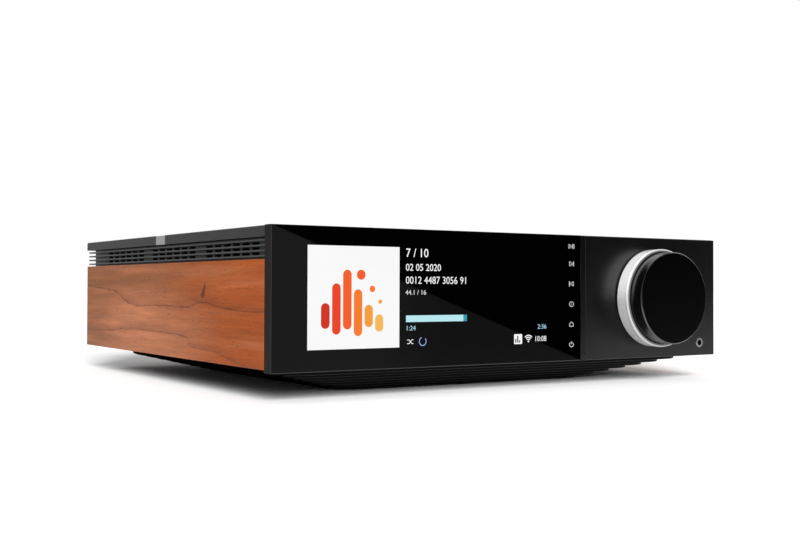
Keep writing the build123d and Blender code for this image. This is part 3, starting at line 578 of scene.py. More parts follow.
def growth_line(wires, along, up, points, width, fade):
    """How dark the wood is near a growth line: sharp on its lower side, fading over the upper side."""
    share = wires.math("DIVIDE", wires.less(along, WOOD_START), WOOD_LENGTH)
    curve = wires.node("ShaderNodeFloatCurve", {"Value": share})
    line = curve.mapping.curves[0]
    wanted = [((y - WOOD_START) / WOOD_LENGTH, z / WOOD_HEIGHT) for y, z in points]
    line.points[0].location = wanted[0]
    line.points[1].location = wanted[-1]
    for x, z in wanted[1:-1]:
        line.points.new(x, z)
    curve.mapping.update()
    gap = wires.less(up, wires.times(curve.outputs[0], WOOD_HEIGHT))
    core = wires.near(gap, 0.0, width)
    above = wires.times(wires.ramp(gap, -0.2, 0.2), wires.fall(gap, 0.0, fade))
    return core, above


def walnut(name, shift):
    """Lacquered walnut, its grain along Y. shift moves the figure along and up, so that no two panels match."""
    if name in bpy.data.materials:
        return bpy.data.materials[name]
    colours = bpy.context.scene.streamer_colours
    finish, wires, shader = blank(name)
    moved = wires.node("ShaderNodeMapping", {
        "Vector": wires.place(), "Location": (0.0, *shift), "Scale": (1 / MM, 1 / MM, 1 / MM),
    })
    across, along, up = wires.node("ShaderNodeSeparateXYZ", {0: moved.outputs[0]}).outputs
    wide = wires.point(wires.times(across, 0.02), wires.times(along, 0.022), wires.times(up, 0.03))
    bent = wires.sway(wires.noise(wide, 1.0), 3.0, up)

    def figure(length, thickness, detail=2.0, roughness=0.5):
        """A noise drawn out along the bent grain."""
        parts = ((across, thickness), (along, length), (bent, thickness))
        shares = [wires.math("DIVIDE", part, size) for part, size in parts]
        return wires.noise(wires.point(*shares), 1.0, detail, roughness)

    streak = figure(70.0, 3.2, 3.0, 0.6)
    thread = figure(22.0, 0.55)
    pore = wires.ramp(figure(5.0, 0.26, 1.0), 0.57, 0.70)
    pore_rows = wires.ramp(figure(48.0, 2.4, 1.0), 0.38, 0.62)
    speck = wires.times(pore, pore_rows)
    near_back = wires.ramp(wires.times_add(figure(80.0, 22.0), 110.0, along), -75.0, 95.0)
    ground = wires.mix(near_back, (*colours.walnut_front, 1.0), (*colours.walnut_rear, 1.0))
    pale = wires.times(wires.ramp(figure(150.0, 8.0, 3.0), 0.42, 0.70), 0.28)
    pale = wires.times_add(wires.spot(along, up, (12.0, 29.0), (110.0, 34.0)), 0.42, pale)
    ground = wires.mix(pale, ground, (*colours.walnut_pale, 1.0))
    colour = wires.scaled(ground, wires.sway(thread, 0.45, wires.sway(streak, 0.80, 1.0)))

    # Dark marks as (where, how strong): two growth lines, a knot with its crack and halo, and the pores
    marks = []
    ragged = wires.sway(thread, 2.2, up)
    broken = wires.times_add(wires.ramp(figure(16.0, 5.0), 0.40, 0.60), 0.35, 0.65)
    for points, width, fade, strength in ((UPPER_LINE, 0.65, 7.0, 0.85), (LOWER_LINE, 0.55, 6.0, 0.70)):
        core, above = growth_line(wires, along, ragged, points, width, fade)
        marks += [(above, 0.18), (wires.times(core, broken), strength)]
    knot_y, knot_z, knot_lean = -70.7, 56.8, 0.51
    rise = wires.less(up, knot_z)
    beside = wires.times_add(rise, knot_lean, wires.less(along, knot_y))
    crack = wires.near(beside, 0.2, wires.times_add(rise, -0.45, 2.6))
    knot = wires.spot(along, up, (-68.9, 53.4), (3.6, 1.8))
    halo = wires.times(wires.near(wires.times_add(beside, 0.10, rise), 0.1, 1.1), wires.near(beside, 4.0, 26.0))
    halo = wires.times(halo, wires.ramp(thread, 0.40, 0.60))
    marks += [(wires.times(crack, wires.near(rise, 1.5, 5.0)), 0.95), (knot, 0.9), (halo, 0.45), (speck, 0.50)]
    for where, strength in marks:
        colour = wires.mix(wires.times(where, strength), colour, (*colours.walnut_line, 1.0))

    relief = wires.times_add(speck, -1.0, wires.times(thread, 0.3))
    bump = wires.node("ShaderNodeBump", {"Height": relief, "Distance": 0.02 * MM, "Strength": 1.0})
    wires.fill(shader, {
        "Base Color": colour, "Roughness": wires.times_add(speck, 0.15, wires.times_add(streak, 0.12, 0.34)),
        "Normal": bump.outputs[0], "Specular IOR Level": 0.10,
    })
    return finish


def plain_finishes():
    """One material for each slot of the record but the wood's, and one more for the fins."""
    colours = bpy.context.scene.streamer_colours
    brushed_x, brushed_y = (0.02, 1.0, 1.0), (1.0, 0.02, 1.0)
    # Name, colour, metallic, roughness, tone, spread, grain size, for some its stretch, and what else differs
    rows = (
        ("satin_black_metal", colours.front_metal, 0.95, 0.33, 0.10, 0.06, 2200.0, {}),
        ("dark_anodised", colours.case_metal, 0.85, 0.42, 0.14, 0.08, 2400.0, {}),
        ("fin_anodised", colours.fin_metal, 0.85, 0.42, 0.14, 0.08, 2400.0, {}),
        ("silver_band", (0.62, 0.62, 0.62), 1.0, 0.34, 0.22, 0.10, 3000.0, brushed_x, {}),
        ("knurled_silver", colours.ring_metal, 0.85, 0.24, 0.10, 0.08, 2500.0, {"height": 0.0}),
        ("black_knob", (0.0005, 0.0005, 0.0006), 0.0, 0.42, 0.2, 0.05, 2600.0, {"specular": 0.05}),
        ("black_glass", (0.0002, 0.0002, 0.0003), 0.0, 0.03, 0.1, 0.01, 300.0, {"height": 0.0}),
        ("display", (0.004, 0.004, 0.005), 0.0, 0.10, 0.1, 0.02, 300.0, {"height": 0.0}),
        ("base_black", (0.0010, 0.0010, 0.0012), 0.0, 0.48, 0.3, 0.1, 1800.0, {"specular": 0.08}),
        ("rubber", (0.012, 0.012, 0.012), 0.0, 0.8, 0.3, 0.1, 1500.0, {"specular": 0.2}),
        ("zinc_steel", (0.46, 0.47, 0.49), 1.0, 0.38, 0.25, 0.15, 260.0, {}),
        ("magnet_nickel", (0.62, 0.61, 0.58), 1.0, 0.22, 0.1, 0.1, 900.0, {}),
        ("board_green", (0.015, 0.10, 0.045), 0.0, 0.35, 0.4, 0.1, 500.0, {}),
        ("black_plastic", (0.014, 0.014, 0.015), 0.0, 0.45, 0.3, 0.1, 1600.0, {"specular": 0.35}),
        ("key_black", (0.040, 0.040, 0.041), 0.95, 0.33, 0.10, 0.06, 2200.0, {}),
        ("gold_plate", (0.78, 0.55, 0.22), 1.0, 0.2, 0.12, 0.08, 1200.0, {}),
        ("tinned_shell", (0.60, 0.61, 0.63), 1.0, 0.32, 0.2, 0.12, 700.0, brushed_y, {}),
        ("bright_collar", (0.34, 0.34, 0.345), 1.0, 0.16, 0.08, 0.05, 1500.0, {}),
        ("red_plastic", (0.42, 0.012, 0.012), 0.0, 0.22, 0.15, 0.05, 900.0, {"coat": 0.3}),
        ("ribbon_white", (0.70, 0.70, 0.68), 0.0, 0.4, 0.1, 0.05, 500.0, (1.0, 20.0, 1.0), {}),
        ("lead_black", (0.02, 0.02, 0.02), 0.0, 0.5, 0.2, 0.1, 900.0, {}),
        ("heat_sink_black", (0.03, 0.03, 0.032), 0.6, 0.4, 0.2, 0.1, 900.0, brushed_x, {}),
    )
    return {name: grained(name, *values, **more) for name, *values, more in rows}


def lit(name, colour):
    return grained(name, (0.004, 0.004, 0.004), 0.0, 0.06, 0.1, 0.01, 300.0, height=0.0, glow=colour)


# Operators


class STREAMER_OT_stage(bpy.types.Operator):
    """Sets the camera, the even white light, the low lamp, the floor and the flags that the object mirrors"""

    bl_idname = "streamer.stage"
    bl_label = "Stage"

    def camera(self):
        """Stands where the camera was that fits the photo. place is in m."""
        place = Vector((-0.40026, -0.64014, 0.05839))
        turn, lift, roll = math.radians(33.06), math.radians(1.0215), math.radians(0.183)
        ahead = Vector((math.sin(turn) * math.cos(lift), math.cos(turn) * math.cos(lift), math.sin(lift)))
        right = Vector((math.cos(turn), -math.sin(turn), 0.0))
        up = right.cross(ahead)
        tilted_right = right * math.cos(roll) + up * math.sin(roll)
        tilted_up = up * math.cos(roll) - right * math.sin(roll)
        bpy.ops.object.camera_add(location=place)
        camera = bpy.context.object
        axes = Matrix((tilted_right, tilted_up, -ahead)).transposed()
        camera.rotation_euler = axes.to_euler()
        camera.data.lens = 49.709
        camera.data.sensor_width = 36.0
        camera.data.clip_start, camera.data.clip_end = 0.01, 50.0
        bpy.context.scene.camera = camera

    def light(self, given):
        """Mirrors and the camera see white all round. A softer sky and a low lamp in front light the rest."""
        world = bpy.data.worlds.new("Even white light")
        bpy.context.scene.world = world
        world.use_nodes = True
        back = world.node_tree.nodes["Background"]
        back.inputs[0].default_value = (1.0, 1.0, 1.0, 1.0)
        wires = Wiring(world.node_tree)
        ray = wires.node("ShaderNodeLightPath").outputs
        seen = wires.math("MAXIMUM", ray["Is Glossy Ray"], ray["Is Transmission Ray"])
        seen = wires.math("MAXIMUM", ray["Is Camera Ray"], seen)
        wires.feed(back.inputs[1], wires.times_add(seen, 1.0 - given.sky, given.sky))
        raised, to_left = math.radians(23.0), math.radians(24.0)
        bpy.ops.object.light_add(
            type="SUN", location=(0.0, -2.0, 1.0), rotation=(math.pi / 2 - raised, 0.0, -to_left),
        )
        lamp = bpy.context.object
        lamp.name = "front_lamp"
        lamp.data.energy = given.lamp
        lamp.data.angle = given.lamp_spread
        lamp.visible_glossy = False

    def floor(self):
        bpy.ops.mesh.primitive_plane_add(size=12.0, location=(0.0, 0.0, 0.0))
        floor = bpy.context.object
        floor.name = "floor"
        finish, wires = bare("white_floor")
        white = bpy.context.scene.streamer_light.floor_white
        seen = wires.node("ShaderNodeLightPath").outputs["Is Camera Ray"]
        colour = wires.mix(seen, (1.0, 1.0, 1.0, 1.0), (white, white, white, 1.0))
        matt = wires.node("ShaderNodeBsdfDiffuse", {"Color": colour, "Roughness": 0.0})
        wires.node("ShaderNodeOutputMaterial", {"Surface": matt.outputs[0]})
        floor.data.materials.append(finish)

    def flag(self, name, faces, tone, cover=None):
        """A flag that only mirrored rays see. tone wires its grey, and cover how much it hides, from x and z."""
        shape = bmesh.new()
        for corners in faces:
            shape.faces.new([shape.verts.new((x * MM, y * MM, z * MM)) for x, y, z in corners])
        flag = new_piece(name, shape)
        finish, wires = bare(name + "_grey")
        parts = wires.node("ShaderNodeSeparateXYZ", {0: wires.place()}).outputs
        x, z = wires.times(parts[0], 1 / MM), wires.times(parts[2], 1 / MM)
        seen = wires.node("ShaderNodeEmission", {"Color": (1.0, 1.0, 1.0, 1.0), "Strength": tone(wires, x, z)})
        if cover is not None:
            clear = wires.node("ShaderNodeBsdfTransparent").outputs[0]
            seen = wires.node("ShaderNodeMixShader", {0: cover(wires, x, z), 1: clear, 2: seen.outputs[0]})
        wires.node("ShaderNodeOutputMaterial", {"Surface": seen.outputs[0]})
        flag.data.materials.append(finish)
        flag.visible_camera = flag.visible_diffuse = flag.visible_transmission = False
        flag.visible_volume_scatter = flag.visible_shadow = False

    def front_tone(self, wires, x, z):
        """Black above a slanting line and grey below it for the glass; past it, for the plate, paler downwards."""
        (start_x, start_z), (end_x, end_z) = SLANT_START, SLANT_END
        slope = (end_z - start_z) / (end_x - start_x)
        line = wires.times_add(wires.less(x, start_x), slope, start_z)
        softness, lost_rightwards, gained_downwards = 0.6, 0.48, 0.12
        under = wires.fall(wires.less(z, line), -softness, softness)
        tone = bpy.context.scene.streamer_light.flag_tone
        fading = wires.times_add(wires.ramp(x, -50.0, 40.0), -lost_rightwards * tone, tone)
        fading = wires.times_add(wires.ramp(z, 22.0, 6.0), gained_downwards * tone, fading)
        glass_part = wires.times(under, fading)
        plate_foot, lost_upwards = 0.98, 0.97
        plate_part = wires.less(plate_foot, wires.times(wires.ramp(z, -10.0, 62.0), lost_upwards))
        beyond = wires.ramp(x, PLATE_START, PLATE_START + 2.0)
        return wires.add(wires.times(plate_part, beyond), wires.times(glass_part, wires.less(1.0, beyond)))

    def execute(self, context):
        calm()
        given = context.scene.streamer_light
        self.camera()
        self.light(given)
        self.floor()
        front, left, right, low, high = GLASS_FACE - FLAG_GAP, -125.0, 620.0, 1.5, 700.0
        corners = [(left, front, low), (right, front, low), (right, front, high), (left, front, high)]
        self.flag("front_flag", [corners], self.front_tone)
        side, near, far, top = -358.5, -60.0, 1600.0, 400.0
        corners = [(side, near, low), (side, near, top), (side, far, top), (side, far, low)]
        self.flag("side_flag", [corners], lambda wires, x, z: given.side_tone)
        near, far, radius, start, end, glow = -163.5, -153.3, 30.2, 90.0, 205.0, 1.5
        round_ring = arc(KNOB_X, KNOB_Z, radius, start, end, steps=18)
        faces = [
            [(x1, near, z1), (x2, near, z2), (x2, far, z2), (x1, far, z1)]
            for (x1, z1), (x2, z2) in zip(round_ring, round_ring[1:])
        ]
        middle, reach = (KNOB_X - 24.0, KNOB_Z + 20.0), (26.0, 26.0)
        self.flag(
            "ring_glow", faces, lambda wires, x, z: glow, lambda wires, x, z: wires.spot(x, z, middle, reach),
        )
        context.scene.view_settings.view_transform = "Standard"
        return {"FINISHED"}


class STREAMER_OT_finishes(bpy.types.Operator):
    """Gives every CAD node the material of its slot"""

    bl_idname = "streamer.finishes"
    bl_label = "Finishes"

    def execute(self, context):
        for piece in NODES.values():
            piece.data.materials.clear()
        for packed in [item for item in bpy.data.materials if item.users == 0]:
            bpy.data.materials.remove(packed)
        finishes = plain_finishes()
        finishes["walnut"] = walnut("walnut", (0.0, 0.0))
        missing = sorted(set(SLOTS.values()) - set(finishes))
        if missing:
            raise RuntimeError(f"no material for {missing}")
        for node, piece in NODES.items():
            piece.data.materials.append(finishes[SLOTS[node]])
        return {"FINISHED"}


class STREAMER_OT_case(bpy.types.Operator):
    """Finishes the cover, its band, the vent rails, the wooden panels and the frame behind the glass"""

    bl_idname = "streamer.case"
    bl_label = "Case"

    def execute(self, context):
        dress("top_cover")
        dress("cover_band", 0.08)
        for side in ("left", "right"):
            dress(side + "_vent_rail", 0.12, bpy.data.materials["fin_anodised"])
        dress("left_side_panel")
        dress("right_side_panel", finish=walnut("walnut_right", (38.0, -9.0)))
        edge = grained("frame_edge", (0.010, 0.0085, 0.0075), 0.0, 0.45, 0.12, 0.06, 2400.0, specular=0.05)
        dress("fascia_frame", finish=edge)
        glass = bpy.data.materials["black_glass"]
        paint(dress("front_glass", 0.1), [glass, edge], lambda centre, normal: 0 if abs(normal.y) > 0.5 else 1)
        dress("control_plate", 0.12)
        tray = grained("tray_black", (0.005, 0.005, 0.0055), 0.0, 0.5, 0.3, 0.1, 1500.0, specular=0.2)
        dress("chassis_tray", 0.1, tray)
        return {"FINISHED"}


class STREAMER_OT_base(bpy.types.Operator):
    """Finishes the stepped base and its feet"""

    bl_idname = "streamer.base"
    bl_label = "Base"

    def execute(self, context):
        # The rim under each tier is a painted highlight: a paler black than the rest of the base
        rim = grained("base_rim", (0.020, 0.020, 0.021), 0.0, 0.35, 0.1, 0.05, 1800.0, specular=0.25)
        base = dress("stepped_base", 0.20, segments=1, angle=40.0)
        matt = grained("base_matt", (0.0012, 0.0012, 0.0014), 0.0, 0.6, 0.3, 0.1, 1800.0, specular=0.0)

        def choose(centre, normal):
            """Matt sides and backs, and a paler, glossier rim under each tier that is a painted highlight."""
            if normal.y > -0.5 and abs(normal.z) < 0.9:
                return 2
            return 1 if -0.9 < normal.z < -0.3 else 0

        paint(base, [bpy.data.materials["base_black"], rim, matt], choose)
        dress("rubber_feet", 0.3)
        return {"FINISHED"}


class STREAMER_OT_knobs(bpy.types.Operator):
    """Makes the knurled ring, the knob and the headphone collar"""

    bl_idname = "streamer.knobs"
    bl_label = "Knobs"

    def knurl(self, radius, back, front):
        """A band of diamonds: raised points in a chequer of low ones, split along the grooves."""
        sizes = bpy.context.scene.streamer_sizes
        columns, rows = 2 * sizes.knurl_count, sizes.knurl_rows
        calm()
        bpy.ops.mesh.primitive_grid_add(x_subdivisions=columns, y_subdivisions=rows, size=1.0, location=(0, 0, 0))
        band = bpy.context.object
        band.name = "knurl_band"
        shape = bmesh.new()
        shape.from_mesh(band.data)
        low = set()
        for corner in shape.verts:
            column = round((corner.co.x + 0.5) * columns)
            row = round((corner.co.y + 0.5) * rows)
            raised = (column + row) % 2 == 0 and 0 < row < rows
            if not raised:
                low.add(corner)
            reach = radius * MM - (0.0 if raised else sizes.knurl_depth)
            angle = 2 * math.pi * column / columns
            y = back + (front - back) * row / rows
            corner.co = (KNOB_X * MM + reach * math.sin(angle), y * MM, KNOB_Z * MM + reach * math.cos(angle))
        for face in list(shape.faces):
            hollow = [corner for corner in face.verts if corner in low]
            if len(hollow) == 2 and not any(hollow[1] in edge.verts for edge in hollow[0].link_edges):
                bmesh.utils.face_split(face, hollow[0], hollow[1])
        bmesh.ops.remove_doubles(shape, verts=shape.verts, dist=0.001 * MM)
        bmesh.ops.recalc_face_normals(shape, faces=shape.faces)
        middle = Vector((KNOB_X * MM, (back + front) / 2 * MM, KNOB_Z * MM))
        face = next(iter(shape.faces))
        if face.normal.dot(face.calc_center_median() - middle) < 0:
            bmesh.ops.reverse_faces(shape, faces=shape.faces)
        shape.to_mesh(band.data)
        shape.free()
        return band

    def ring(self, finish):
        sizes = bpy.context.scene.streamer_sizes
        radius, back, front = 29.8, -153.9, -161.5
        under = radius - sizes.knurl_depth / MM
        # From the knurling's front over the rim and the slope into the bore, and out again at the back
        profile = [
            (under, front), (29.7, -161.55), (29.8, -161.7), (29.8, -162.2), (29.65, -162.45), (29.35, -162.75),
            (29.0, -162.98), (28.5, -163.3), (28.15, -163.4), (28.0, -163.25), (28.0, -153.6), (29.0, -153.6),
            (29.3, -153.75), (under, back),
        ]
        ring = lathe("volume_ring_finished", profile, (KNOB_X, KNOB_Z), 2 * sizes.knurl_count)
        band = self.knurl(radius, back, front)
        pick(ring)
        band.select_set(True)
        bpy.ops.object.join()
        mend(ring, 0.004)
        polished = grained("ring_rim", (0.80, 0.80, 0.80), 0.7, 0.40, 0.05, 0.03, 1500.0, height=0.0)
        slope = grained("ring_bevel", (0.55, 0.55, 0.555), 0.45, 0.40, 0.10, 0.05, 1500.0, height=0.0)
        # The inner edge of the front slope, where it turns into the bore, is painted dark grey: painted shade
        bore = grained("ring_bore", (0.16, 0.16, 0.162), 0.6, 0.45, 0.10, 0.05, 1500.0, height=0.0)
        rim_back, slope_back, slope_radius, bore_radius = -161.6, -162.5, 29.6, 28.9

        def choose(centre, normal):
            if centre.y < slope_back and off_axis(centre) < slope_radius:
                return 2 if off_axis(centre) > bore_radius else 3
            return 1 if centre.y < rim_back else 0

        paint(ring, [finish, polished, slope, bore], choose)
        smooth(ring, 25.0)
        for face in ring.data.polygons:
            centre = face.center / MM
            if front < centre.y < back and off_axis(centre) > 29.0:
                face.use_smooth = False
        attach(ring, "volume")
        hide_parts("volume_ring")

    def knob(self, finish):
        # From the middle of the face over its raised edge and down the side to the middle of the back
        profile = [
            (0.0, -172.55), (26.2, -172.55), (26.9, -172.6), (27.1, -172.58), (27.55, -172.2), (27.7, -171.95),
            (27.7, -157.5), (27.4, -157.2), (0.0, -157.2),
        ]
        knob = lathe("source_knob_finished", profile, (KNOB_X, KNOB_Z), steps=192)
        side = grained("knob_side", (0.001, 0.001, 0.0012), 0.0, 0.20, 0.1, 0.04, 900.0, height=0.0, specular=0.65)
        # The metallic grey on the chamfer round the black face is a painted highlight line
        painted_chamfer_highlight = grained("knob_chamfer", (0.15, 0.15, 0.152), 1.0, 0.24, 0.1, 0.04, 1500.0, height=0.0)
        ledge_back, ledge_radius, side_radius = -171.9, 27.05, 27.3

        def choose(centre, normal):
            if centre.y < ledge_back and off_axis(centre) > ledge_radius:
                return 2
            return 1 if off_axis(centre) > side_radius else 0

        paint(knob, [finish, side, painted_chamfer_highlight], choose)
        smooth(knob, 30.0)
        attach(knob, "source")
        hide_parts("source_knob")

    def execute(self, context):
        calm()
        finish = bpy.data.materials
        self.ring(finish["knurled_silver"])
        self.knob(finish["black_knob"])
        dress("headphone_collar", 0.15, segments=3)
        dress("headphone_socket", 0.0)
        return {"FINISHED"}


class STREAMER_OT_keys(bpy.types.Operator):
    """Finishes the six keys in the seam and lights their signs on the glass"""

    bl_idname = "streamer.keys"
    bl_label = "Keys"

    def execute(self, context):
        for name in ("play", "next", "previous", "info", "home", "power"):
            dress(name + "_key", 0.10)
        glow = lit("sign_glow", (0.95, 0.95, 1.0))
        house = [(-1.45, -1.5), (1.45, -1.5), (1.45, 0.3), (0.0, 1.6), (-1.45, 0.3)]
        # For each sign the height of its middle, and its faces round that middle
        signs = {
            "play": (82.3, strip([(-2.1, 1.4), (-2.1, -1.4), (0.1, 0.0)], 0.27, True)
                     + [rectangle(0.7, 1.1, -1.6, 1.6), rectangle(1.8, 2.2, -1.6, 1.6)]),
            "next": (72.1, strip([(-1.5, 1.5), (-1.5, -1.5), (0.9, 0.0)], 0.28, True)
                     + [rectangle(1.4, 1.85, -1.7, 1.7)]),
            "previous": (60.4, strip([(1.5, 1.5), (1.5, -1.5), (-0.9, 0.0)], 0.28, True)
                         + [rectangle(-1.85, -1.4, -1.7, 1.7)]),
            "info": (48.5, strip(arc(0.0, 0.0, 1.65), 0.30, True) + [rectangle(-0.12, 0.12, -0.7, 0.2)]),
            "home": (36.8, strip(house, 0.30, True)),
            "power": (25.0, strip(arc(0.0, -0.1, 1.6, 125.0, 415.0), 0.32) + [rectangle(-0.21, 0.21, 0.3, 2.0)]),
        }
        narrow, squash = 0.96, 0.84
        for name, (height, faces) in signs.items():
            placed = [[(ICON_X + x * narrow, height + z * squash) for x, z in points] for points in faces]
            lit_shape(name + "_sign", placed, glow)
        return {"FINISHED"}


class STREAMER_OT_screen(bpy.types.Operator):
    """Lights the picture, the numbers, the progress bar and the signs of the screen"""

    bl_idname = "streamer.screen"
    bl_label = "Screen"

    def picture(self):
        """A plain design of round-ended bars and three discs on white."""
        ground = rectangle(-138.2, -83.5, 26.5, 79.2)
        lit_shape("picture_ground", [ground], lit("picture_white", (0.93, 0.93, 0.93)))
        tones = [
            (0.62, 0.02, 0.004), (0.80, 0.045, 0.006), (0.88, 0.10, 0.010), (0.90, 0.19, 0.015),
            (0.91, 0.32, 0.035), (0.90, 0.47, 0.09),
        ]
        heights = [(37.0, 50.0), (34.0, 60.0), (36.5, 67.0), (33.0, 57.0), (37.5, 49.0), (35.0, 44.0)]
        start, step, half = -128.0, 6.4, 2.5
        for index, (tone, (low, high)) in enumerate(zip(tones, heights)):
            middle = start + step * index
            bar = rounded(middle - half, middle + half, low, high, half)
            lit_shape(f"picture_bar_{index + 1}", [bar], lit(f"picture_tone_{index + 1}", tone), 2)
        for index, (x, z, radius) in enumerate(((-107.0, 64.5, 2.6), (-100.2, 57.2, 1.7), (-95.4, 50.6, 1.1))):
            tone = lit(f"picture_tone_{index + 3}", tones[index + 2])
            lit_shape(f"picture_disc_{index + 1}", [arc(x, z, radius)], tone, 2)

    def numbers(self, white, blue):
        grey = lit("screen_grey", (0.78, 0.78, 0.80))
        number("track_number", "7 / 10", -79.6, 74.2, 4.5, white, 0.02, 0.98)
        number("line_two", "02 05 2020", -79.6, 66.9, 3.7, white, 0.015, 0.95)
        number("line_three", "0012 4487 3056 91", -79.6, 60.0, 3.9, white, 0.0, 0.93)
        number("format_line", "44.1 / 16", -79.7, 54.2, 2.5, grey, 0.0, 1.05)
        number("time_gone", "1:24", -79.5, 35.3, 2.5, blue, 0.0, 1.05)
        number("time_left", "2:36", 17.5, 34.6, 2.6, blue, 0.0, 1.05, "RIGHT")
        number("clock", "10:08", 17.5, 27.5, 3.0, white, 0.0, 0.95, "RIGHT")

    def bar(self):
        lit_shape("progress_done", [rectangle(-79.3, -41.8, 39.7, 43.2)], lit("progress_pale", (0.48, 0.80, 0.86)))
        lit_shape("progress_end", [rectangle(-41.8, -39.4, 39.7, 43.2)], lit("progress_teal", (0.03, 0.32, 0.40)))

    def signs(self, white):
        shuffle = strip([(-78.5, 30.3), (-77.3, 30.3), (-75.6, 28.3), (-74.6, 28.3)], 0.36)
        shuffle += strip([(-78.5, 28.3), (-77.3, 28.3), (-75.6, 30.3), (-74.6, 30.3)], 0.36)
        lit_shape("shuffle_sign", shuffle, lit("sign_glow", (0.95, 0.95, 1.0)))
        turn = strip(arc(-68.6, 29.3, 2.2, 110.0, 400.0), 0.45)
        lit_shape("repeat_sign", turn, lit("sign_blue", (0.33, 0.42, 0.80)))
        lit_shape("disc_sign", [rounded(-6.3, -0.5, 26.2, 31.8, 0.5)], white)
        dark = lit("sign_dark", (0.01, 0.01, 0.012))
        lit_shape("disc_sign_bars", [rectangle(-5.5, -4.7, 27.0, 29.2), rectangle(-4.1, -3.3, 27.0, 30.9),
                                     rectangle(-2.7, -1.9, 27.0, 28.4)], dark, 2)
        waves = [arc(4.15, 27.5, 0.5)]
        for radius in (1.5, 2.6, 3.7):
            waves += strip(arc(4.15, 27.3, radius, 45.0, 135.0, 12), 0.55)
        lit_shape("signal_sign", waves, white)

    def execute(self, context):
        white = lit("screen_white", tuple(context.scene.streamer_colours.screen_white))
        blue = lit("screen_blue", (0.42, 0.70, 0.82))
        self.picture()
        self.numbers(white, blue)
        self.bar()
        self.signs(white)
        return {"FINISHED"}


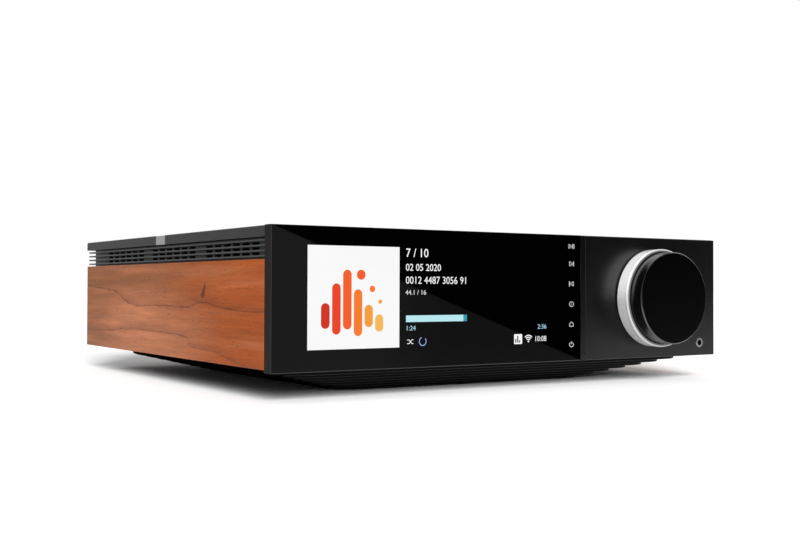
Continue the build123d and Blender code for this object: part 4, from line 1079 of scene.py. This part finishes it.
class STREAMER_OT_rear(bpy.types.Operator):
    """Finishes the rear panel, its sockets, terminals, inlet and switch, and prints its lines"""

    bl_idname = "streamer.rear"
    bl_label = "Rear"

    def recesses(self, screws):
        """Cuts a cross into every screw head on the rear panel."""
        arm, half_slot, depth, least_area = 1.45, 0.34, 0.8, 3.0
        outline, quarter = [], [(half_slot, arm), (-half_slot, arm), (-half_slot, half_slot)]
        for _ in range(4):
            outline += quarter
            quarter = [(-z, x) for x, z in quarter]
        shape = bmesh.new()
        for face in screws.data.polygons:
            x, y, z = face.center / MM
            if face.normal.y > 0.99 and y > REAR_FACE + 0.5 and face.area > least_area * MM * MM:
                corners = [shape.verts.new(((x + dx) * MM, (y - depth) * MM, (z + dz) * MM)) for dx, dz in outline]
                thicken(shape, [shape.faces.new(corners)], 2 * depth * MM)
        if not shape.faces:
            raise RuntimeError("no screw head shows on the rear panel")
        bmesh.ops.recalc_face_normals(shape, faces=shape.faces)
        cutter = new_piece("cross_cutter", shape)
        cut = screws.modifiers.new("Cross", "BOOLEAN")
        cut.operation = "DIFFERENCE"
        cut.solver = "EXACT"
        cut.object = cutter
        apply_modifiers(screws)
        bpy.data.objects.remove(cutter)

    def print_marks(self):
        """Prints numbers over the round sockets, lines that group them and signs over the terminals."""
        white = grained("print_white", (0.62, 0.62, 0.62), 0.0, 0.6, 0.1, 0.05, 900.0, height=0.0)
        back = REAR_FACE + bpy.context.scene.streamer_sizes.print_depth / MM
        number_z, number_height, line_z, line_width, reach = SOCKET_Z + 7.0, 2.4, 44.6, 0.3, 5.0
        for index, x in enumerate(SOCKET_COLUMNS):
            number(f"socket_number_{index + 1}", str(index + 1), x, number_z, number_height, white, 0.03,
                   align="CENTER", back=REAR_FACE, turn=180.0)
        groups = (SOCKET_COLUMNS[0:2], SOCKET_COLUMNS[2:4], SOCKET_COLUMNS[4:5])
        lines = [rectangle(group[0] - reach, group[-1] + reach, line_z, line_z + line_width) for group in groups]
        lit_shape("socket_lines", lines, white, back=back)
        above, arm, half = 3.2, 1.4, 0.25
        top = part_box("terminal_plate")[1][2] / MM + above
        signs = []
        for side in ("right", "left"):
            for sign in ("positive", "negative"):
                low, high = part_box(f"{side}_{sign}_cap")
                x = (low[0] + high[0]) / 2 / MM
                signs.append(rectangle(x - arm, x + arm, top - half, top + half))
                if sign == "positive":
                    signs.append(rectangle(x - half, x + half, top + half, top + arm))
                    signs.append(rectangle(x - half, x + half, top - arm, top - half))
        lit_shape("terminal_signs", signs, white, back=back)

    def socket_washers(self):
        """Puts a coloured moulded washer round the foot of each round socket."""
        bore, rim, foot = 4.16, 5.3, REAR_FACE
        profile = [
            (bore, foot), (rim, foot), (rim, foot + 0.6), (rim - 0.25, foot + 0.9), (bore, foot + 0.9),
            (bore, foot),
        ]
        white = grained("washer_white", (0.70, 0.70, 0.68), 0.0, 0.35, 0.1, 0.05, 900.0)
        red, black = bpy.data.materials["red_plastic"], bpy.data.materials["black_plastic"]
        first = washer = lathe("socket_washer_1", profile, (SOCKET_COLUMNS[0], SOCKET_Z), steps=48)
        for index, finish in enumerate((white, red, white, red, black)):
            if index > 0:
                washer = bpy.data.objects.new(f"socket_washer_{index + 1}", first.data.copy())
                bpy.context.scene.collection.objects.link(washer)
                shift = SOCKET_COLUMNS[index] - SOCKET_COLUMNS[0]
                washer.data.transform(Matrix.Translation((shift * MM, 0.0, 0.0)))
            smooth(washer)
            settle(washer, "chassis", finish)

    def execute(self, context):
        panel = grained("rear_black", (0.018, 0.018, 0.019), 0.2, 0.45, 0.2, 0.1, 2600.0, specular=0.35)
        dress("rear_panel", 0.08, panel)
        for width, nodes in (
            (0.08, ("network_socket", "usb_socket", "hdmi_socket")),
            (0.15, ("optical_socket", "terminal_plate", "mains_inlet", "mains_switch", "switch_rocker")),
            (0.10, ("phono_sockets", "antenna_sockets", "terminal_studs")),
        ):
            for node in nodes:
                dress(node, width)
        self.recesses(dress("screws", 0.12))
        self.socket_washers()
        self.print_marks()
        for side in ("right", "left"):
            for part, width in (("cap", 0.15), ("washer", 0.12)):
                for sign in ("positive", "negative"):
                    dress(f"{side}_{sign}_{part}", width)
        return {"FINISHED"}


class STREAMER_PT_panel(bpy.types.Panel):
    """Lists the steps that dress the streamer"""

    bl_idname = "STREAMER_PT_panel"
    bl_label = "Streamer"
    bl_space_type = "VIEW_3D"
    bl_region_type = "UI"
    bl_category = "Streamer"

    def draw(self, context):
        for step in STEPS:
            self.layout.operator("streamer." + step)
        for group in (context.scene.streamer_sizes, context.scene.streamer_colours, context.scene.streamer_light):
            for name in group.bl_rna.properties.keys():
                if name not in ("rna_type", "name"):
                    self.layout.prop(group, name)


STEPS = ("stage", "finishes", "case", "base", "knobs", "keys", "screen", "rear")
CLASSES = (
    StreamerSizes, StreamerColours, StreamerLight, STREAMER_OT_stage, STREAMER_OT_finishes, STREAMER_OT_case,
    STREAMER_OT_base, STREAMER_OT_knobs, STREAMER_OT_keys, STREAMER_OT_screen, STREAMER_OT_rear, STREAMER_PT_panel,
)


def register():
    for item in CLASSES:
        bpy.utils.register_class(item)
    bpy.types.Scene.streamer_sizes = bpy.props.PointerProperty(type=StreamerSizes)
    bpy.types.Scene.streamer_colours = bpy.props.PointerProperty(type=StreamerColours)
    bpy.types.Scene.streamer_light = bpy.props.PointerProperty(type=StreamerLight)


def unregister():
    del bpy.types.Scene.streamer_light
    del bpy.types.Scene.streamer_colours
    del bpy.types.Scene.streamer_sizes
    for item in reversed(CLASSES):
        bpy.utils.unregister_class(item)


def main():
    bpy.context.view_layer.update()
    register()
    for step in STEPS:
        getattr(bpy.ops.streamer, step)()
    calm()


if __name__ == "__main__":
    main()
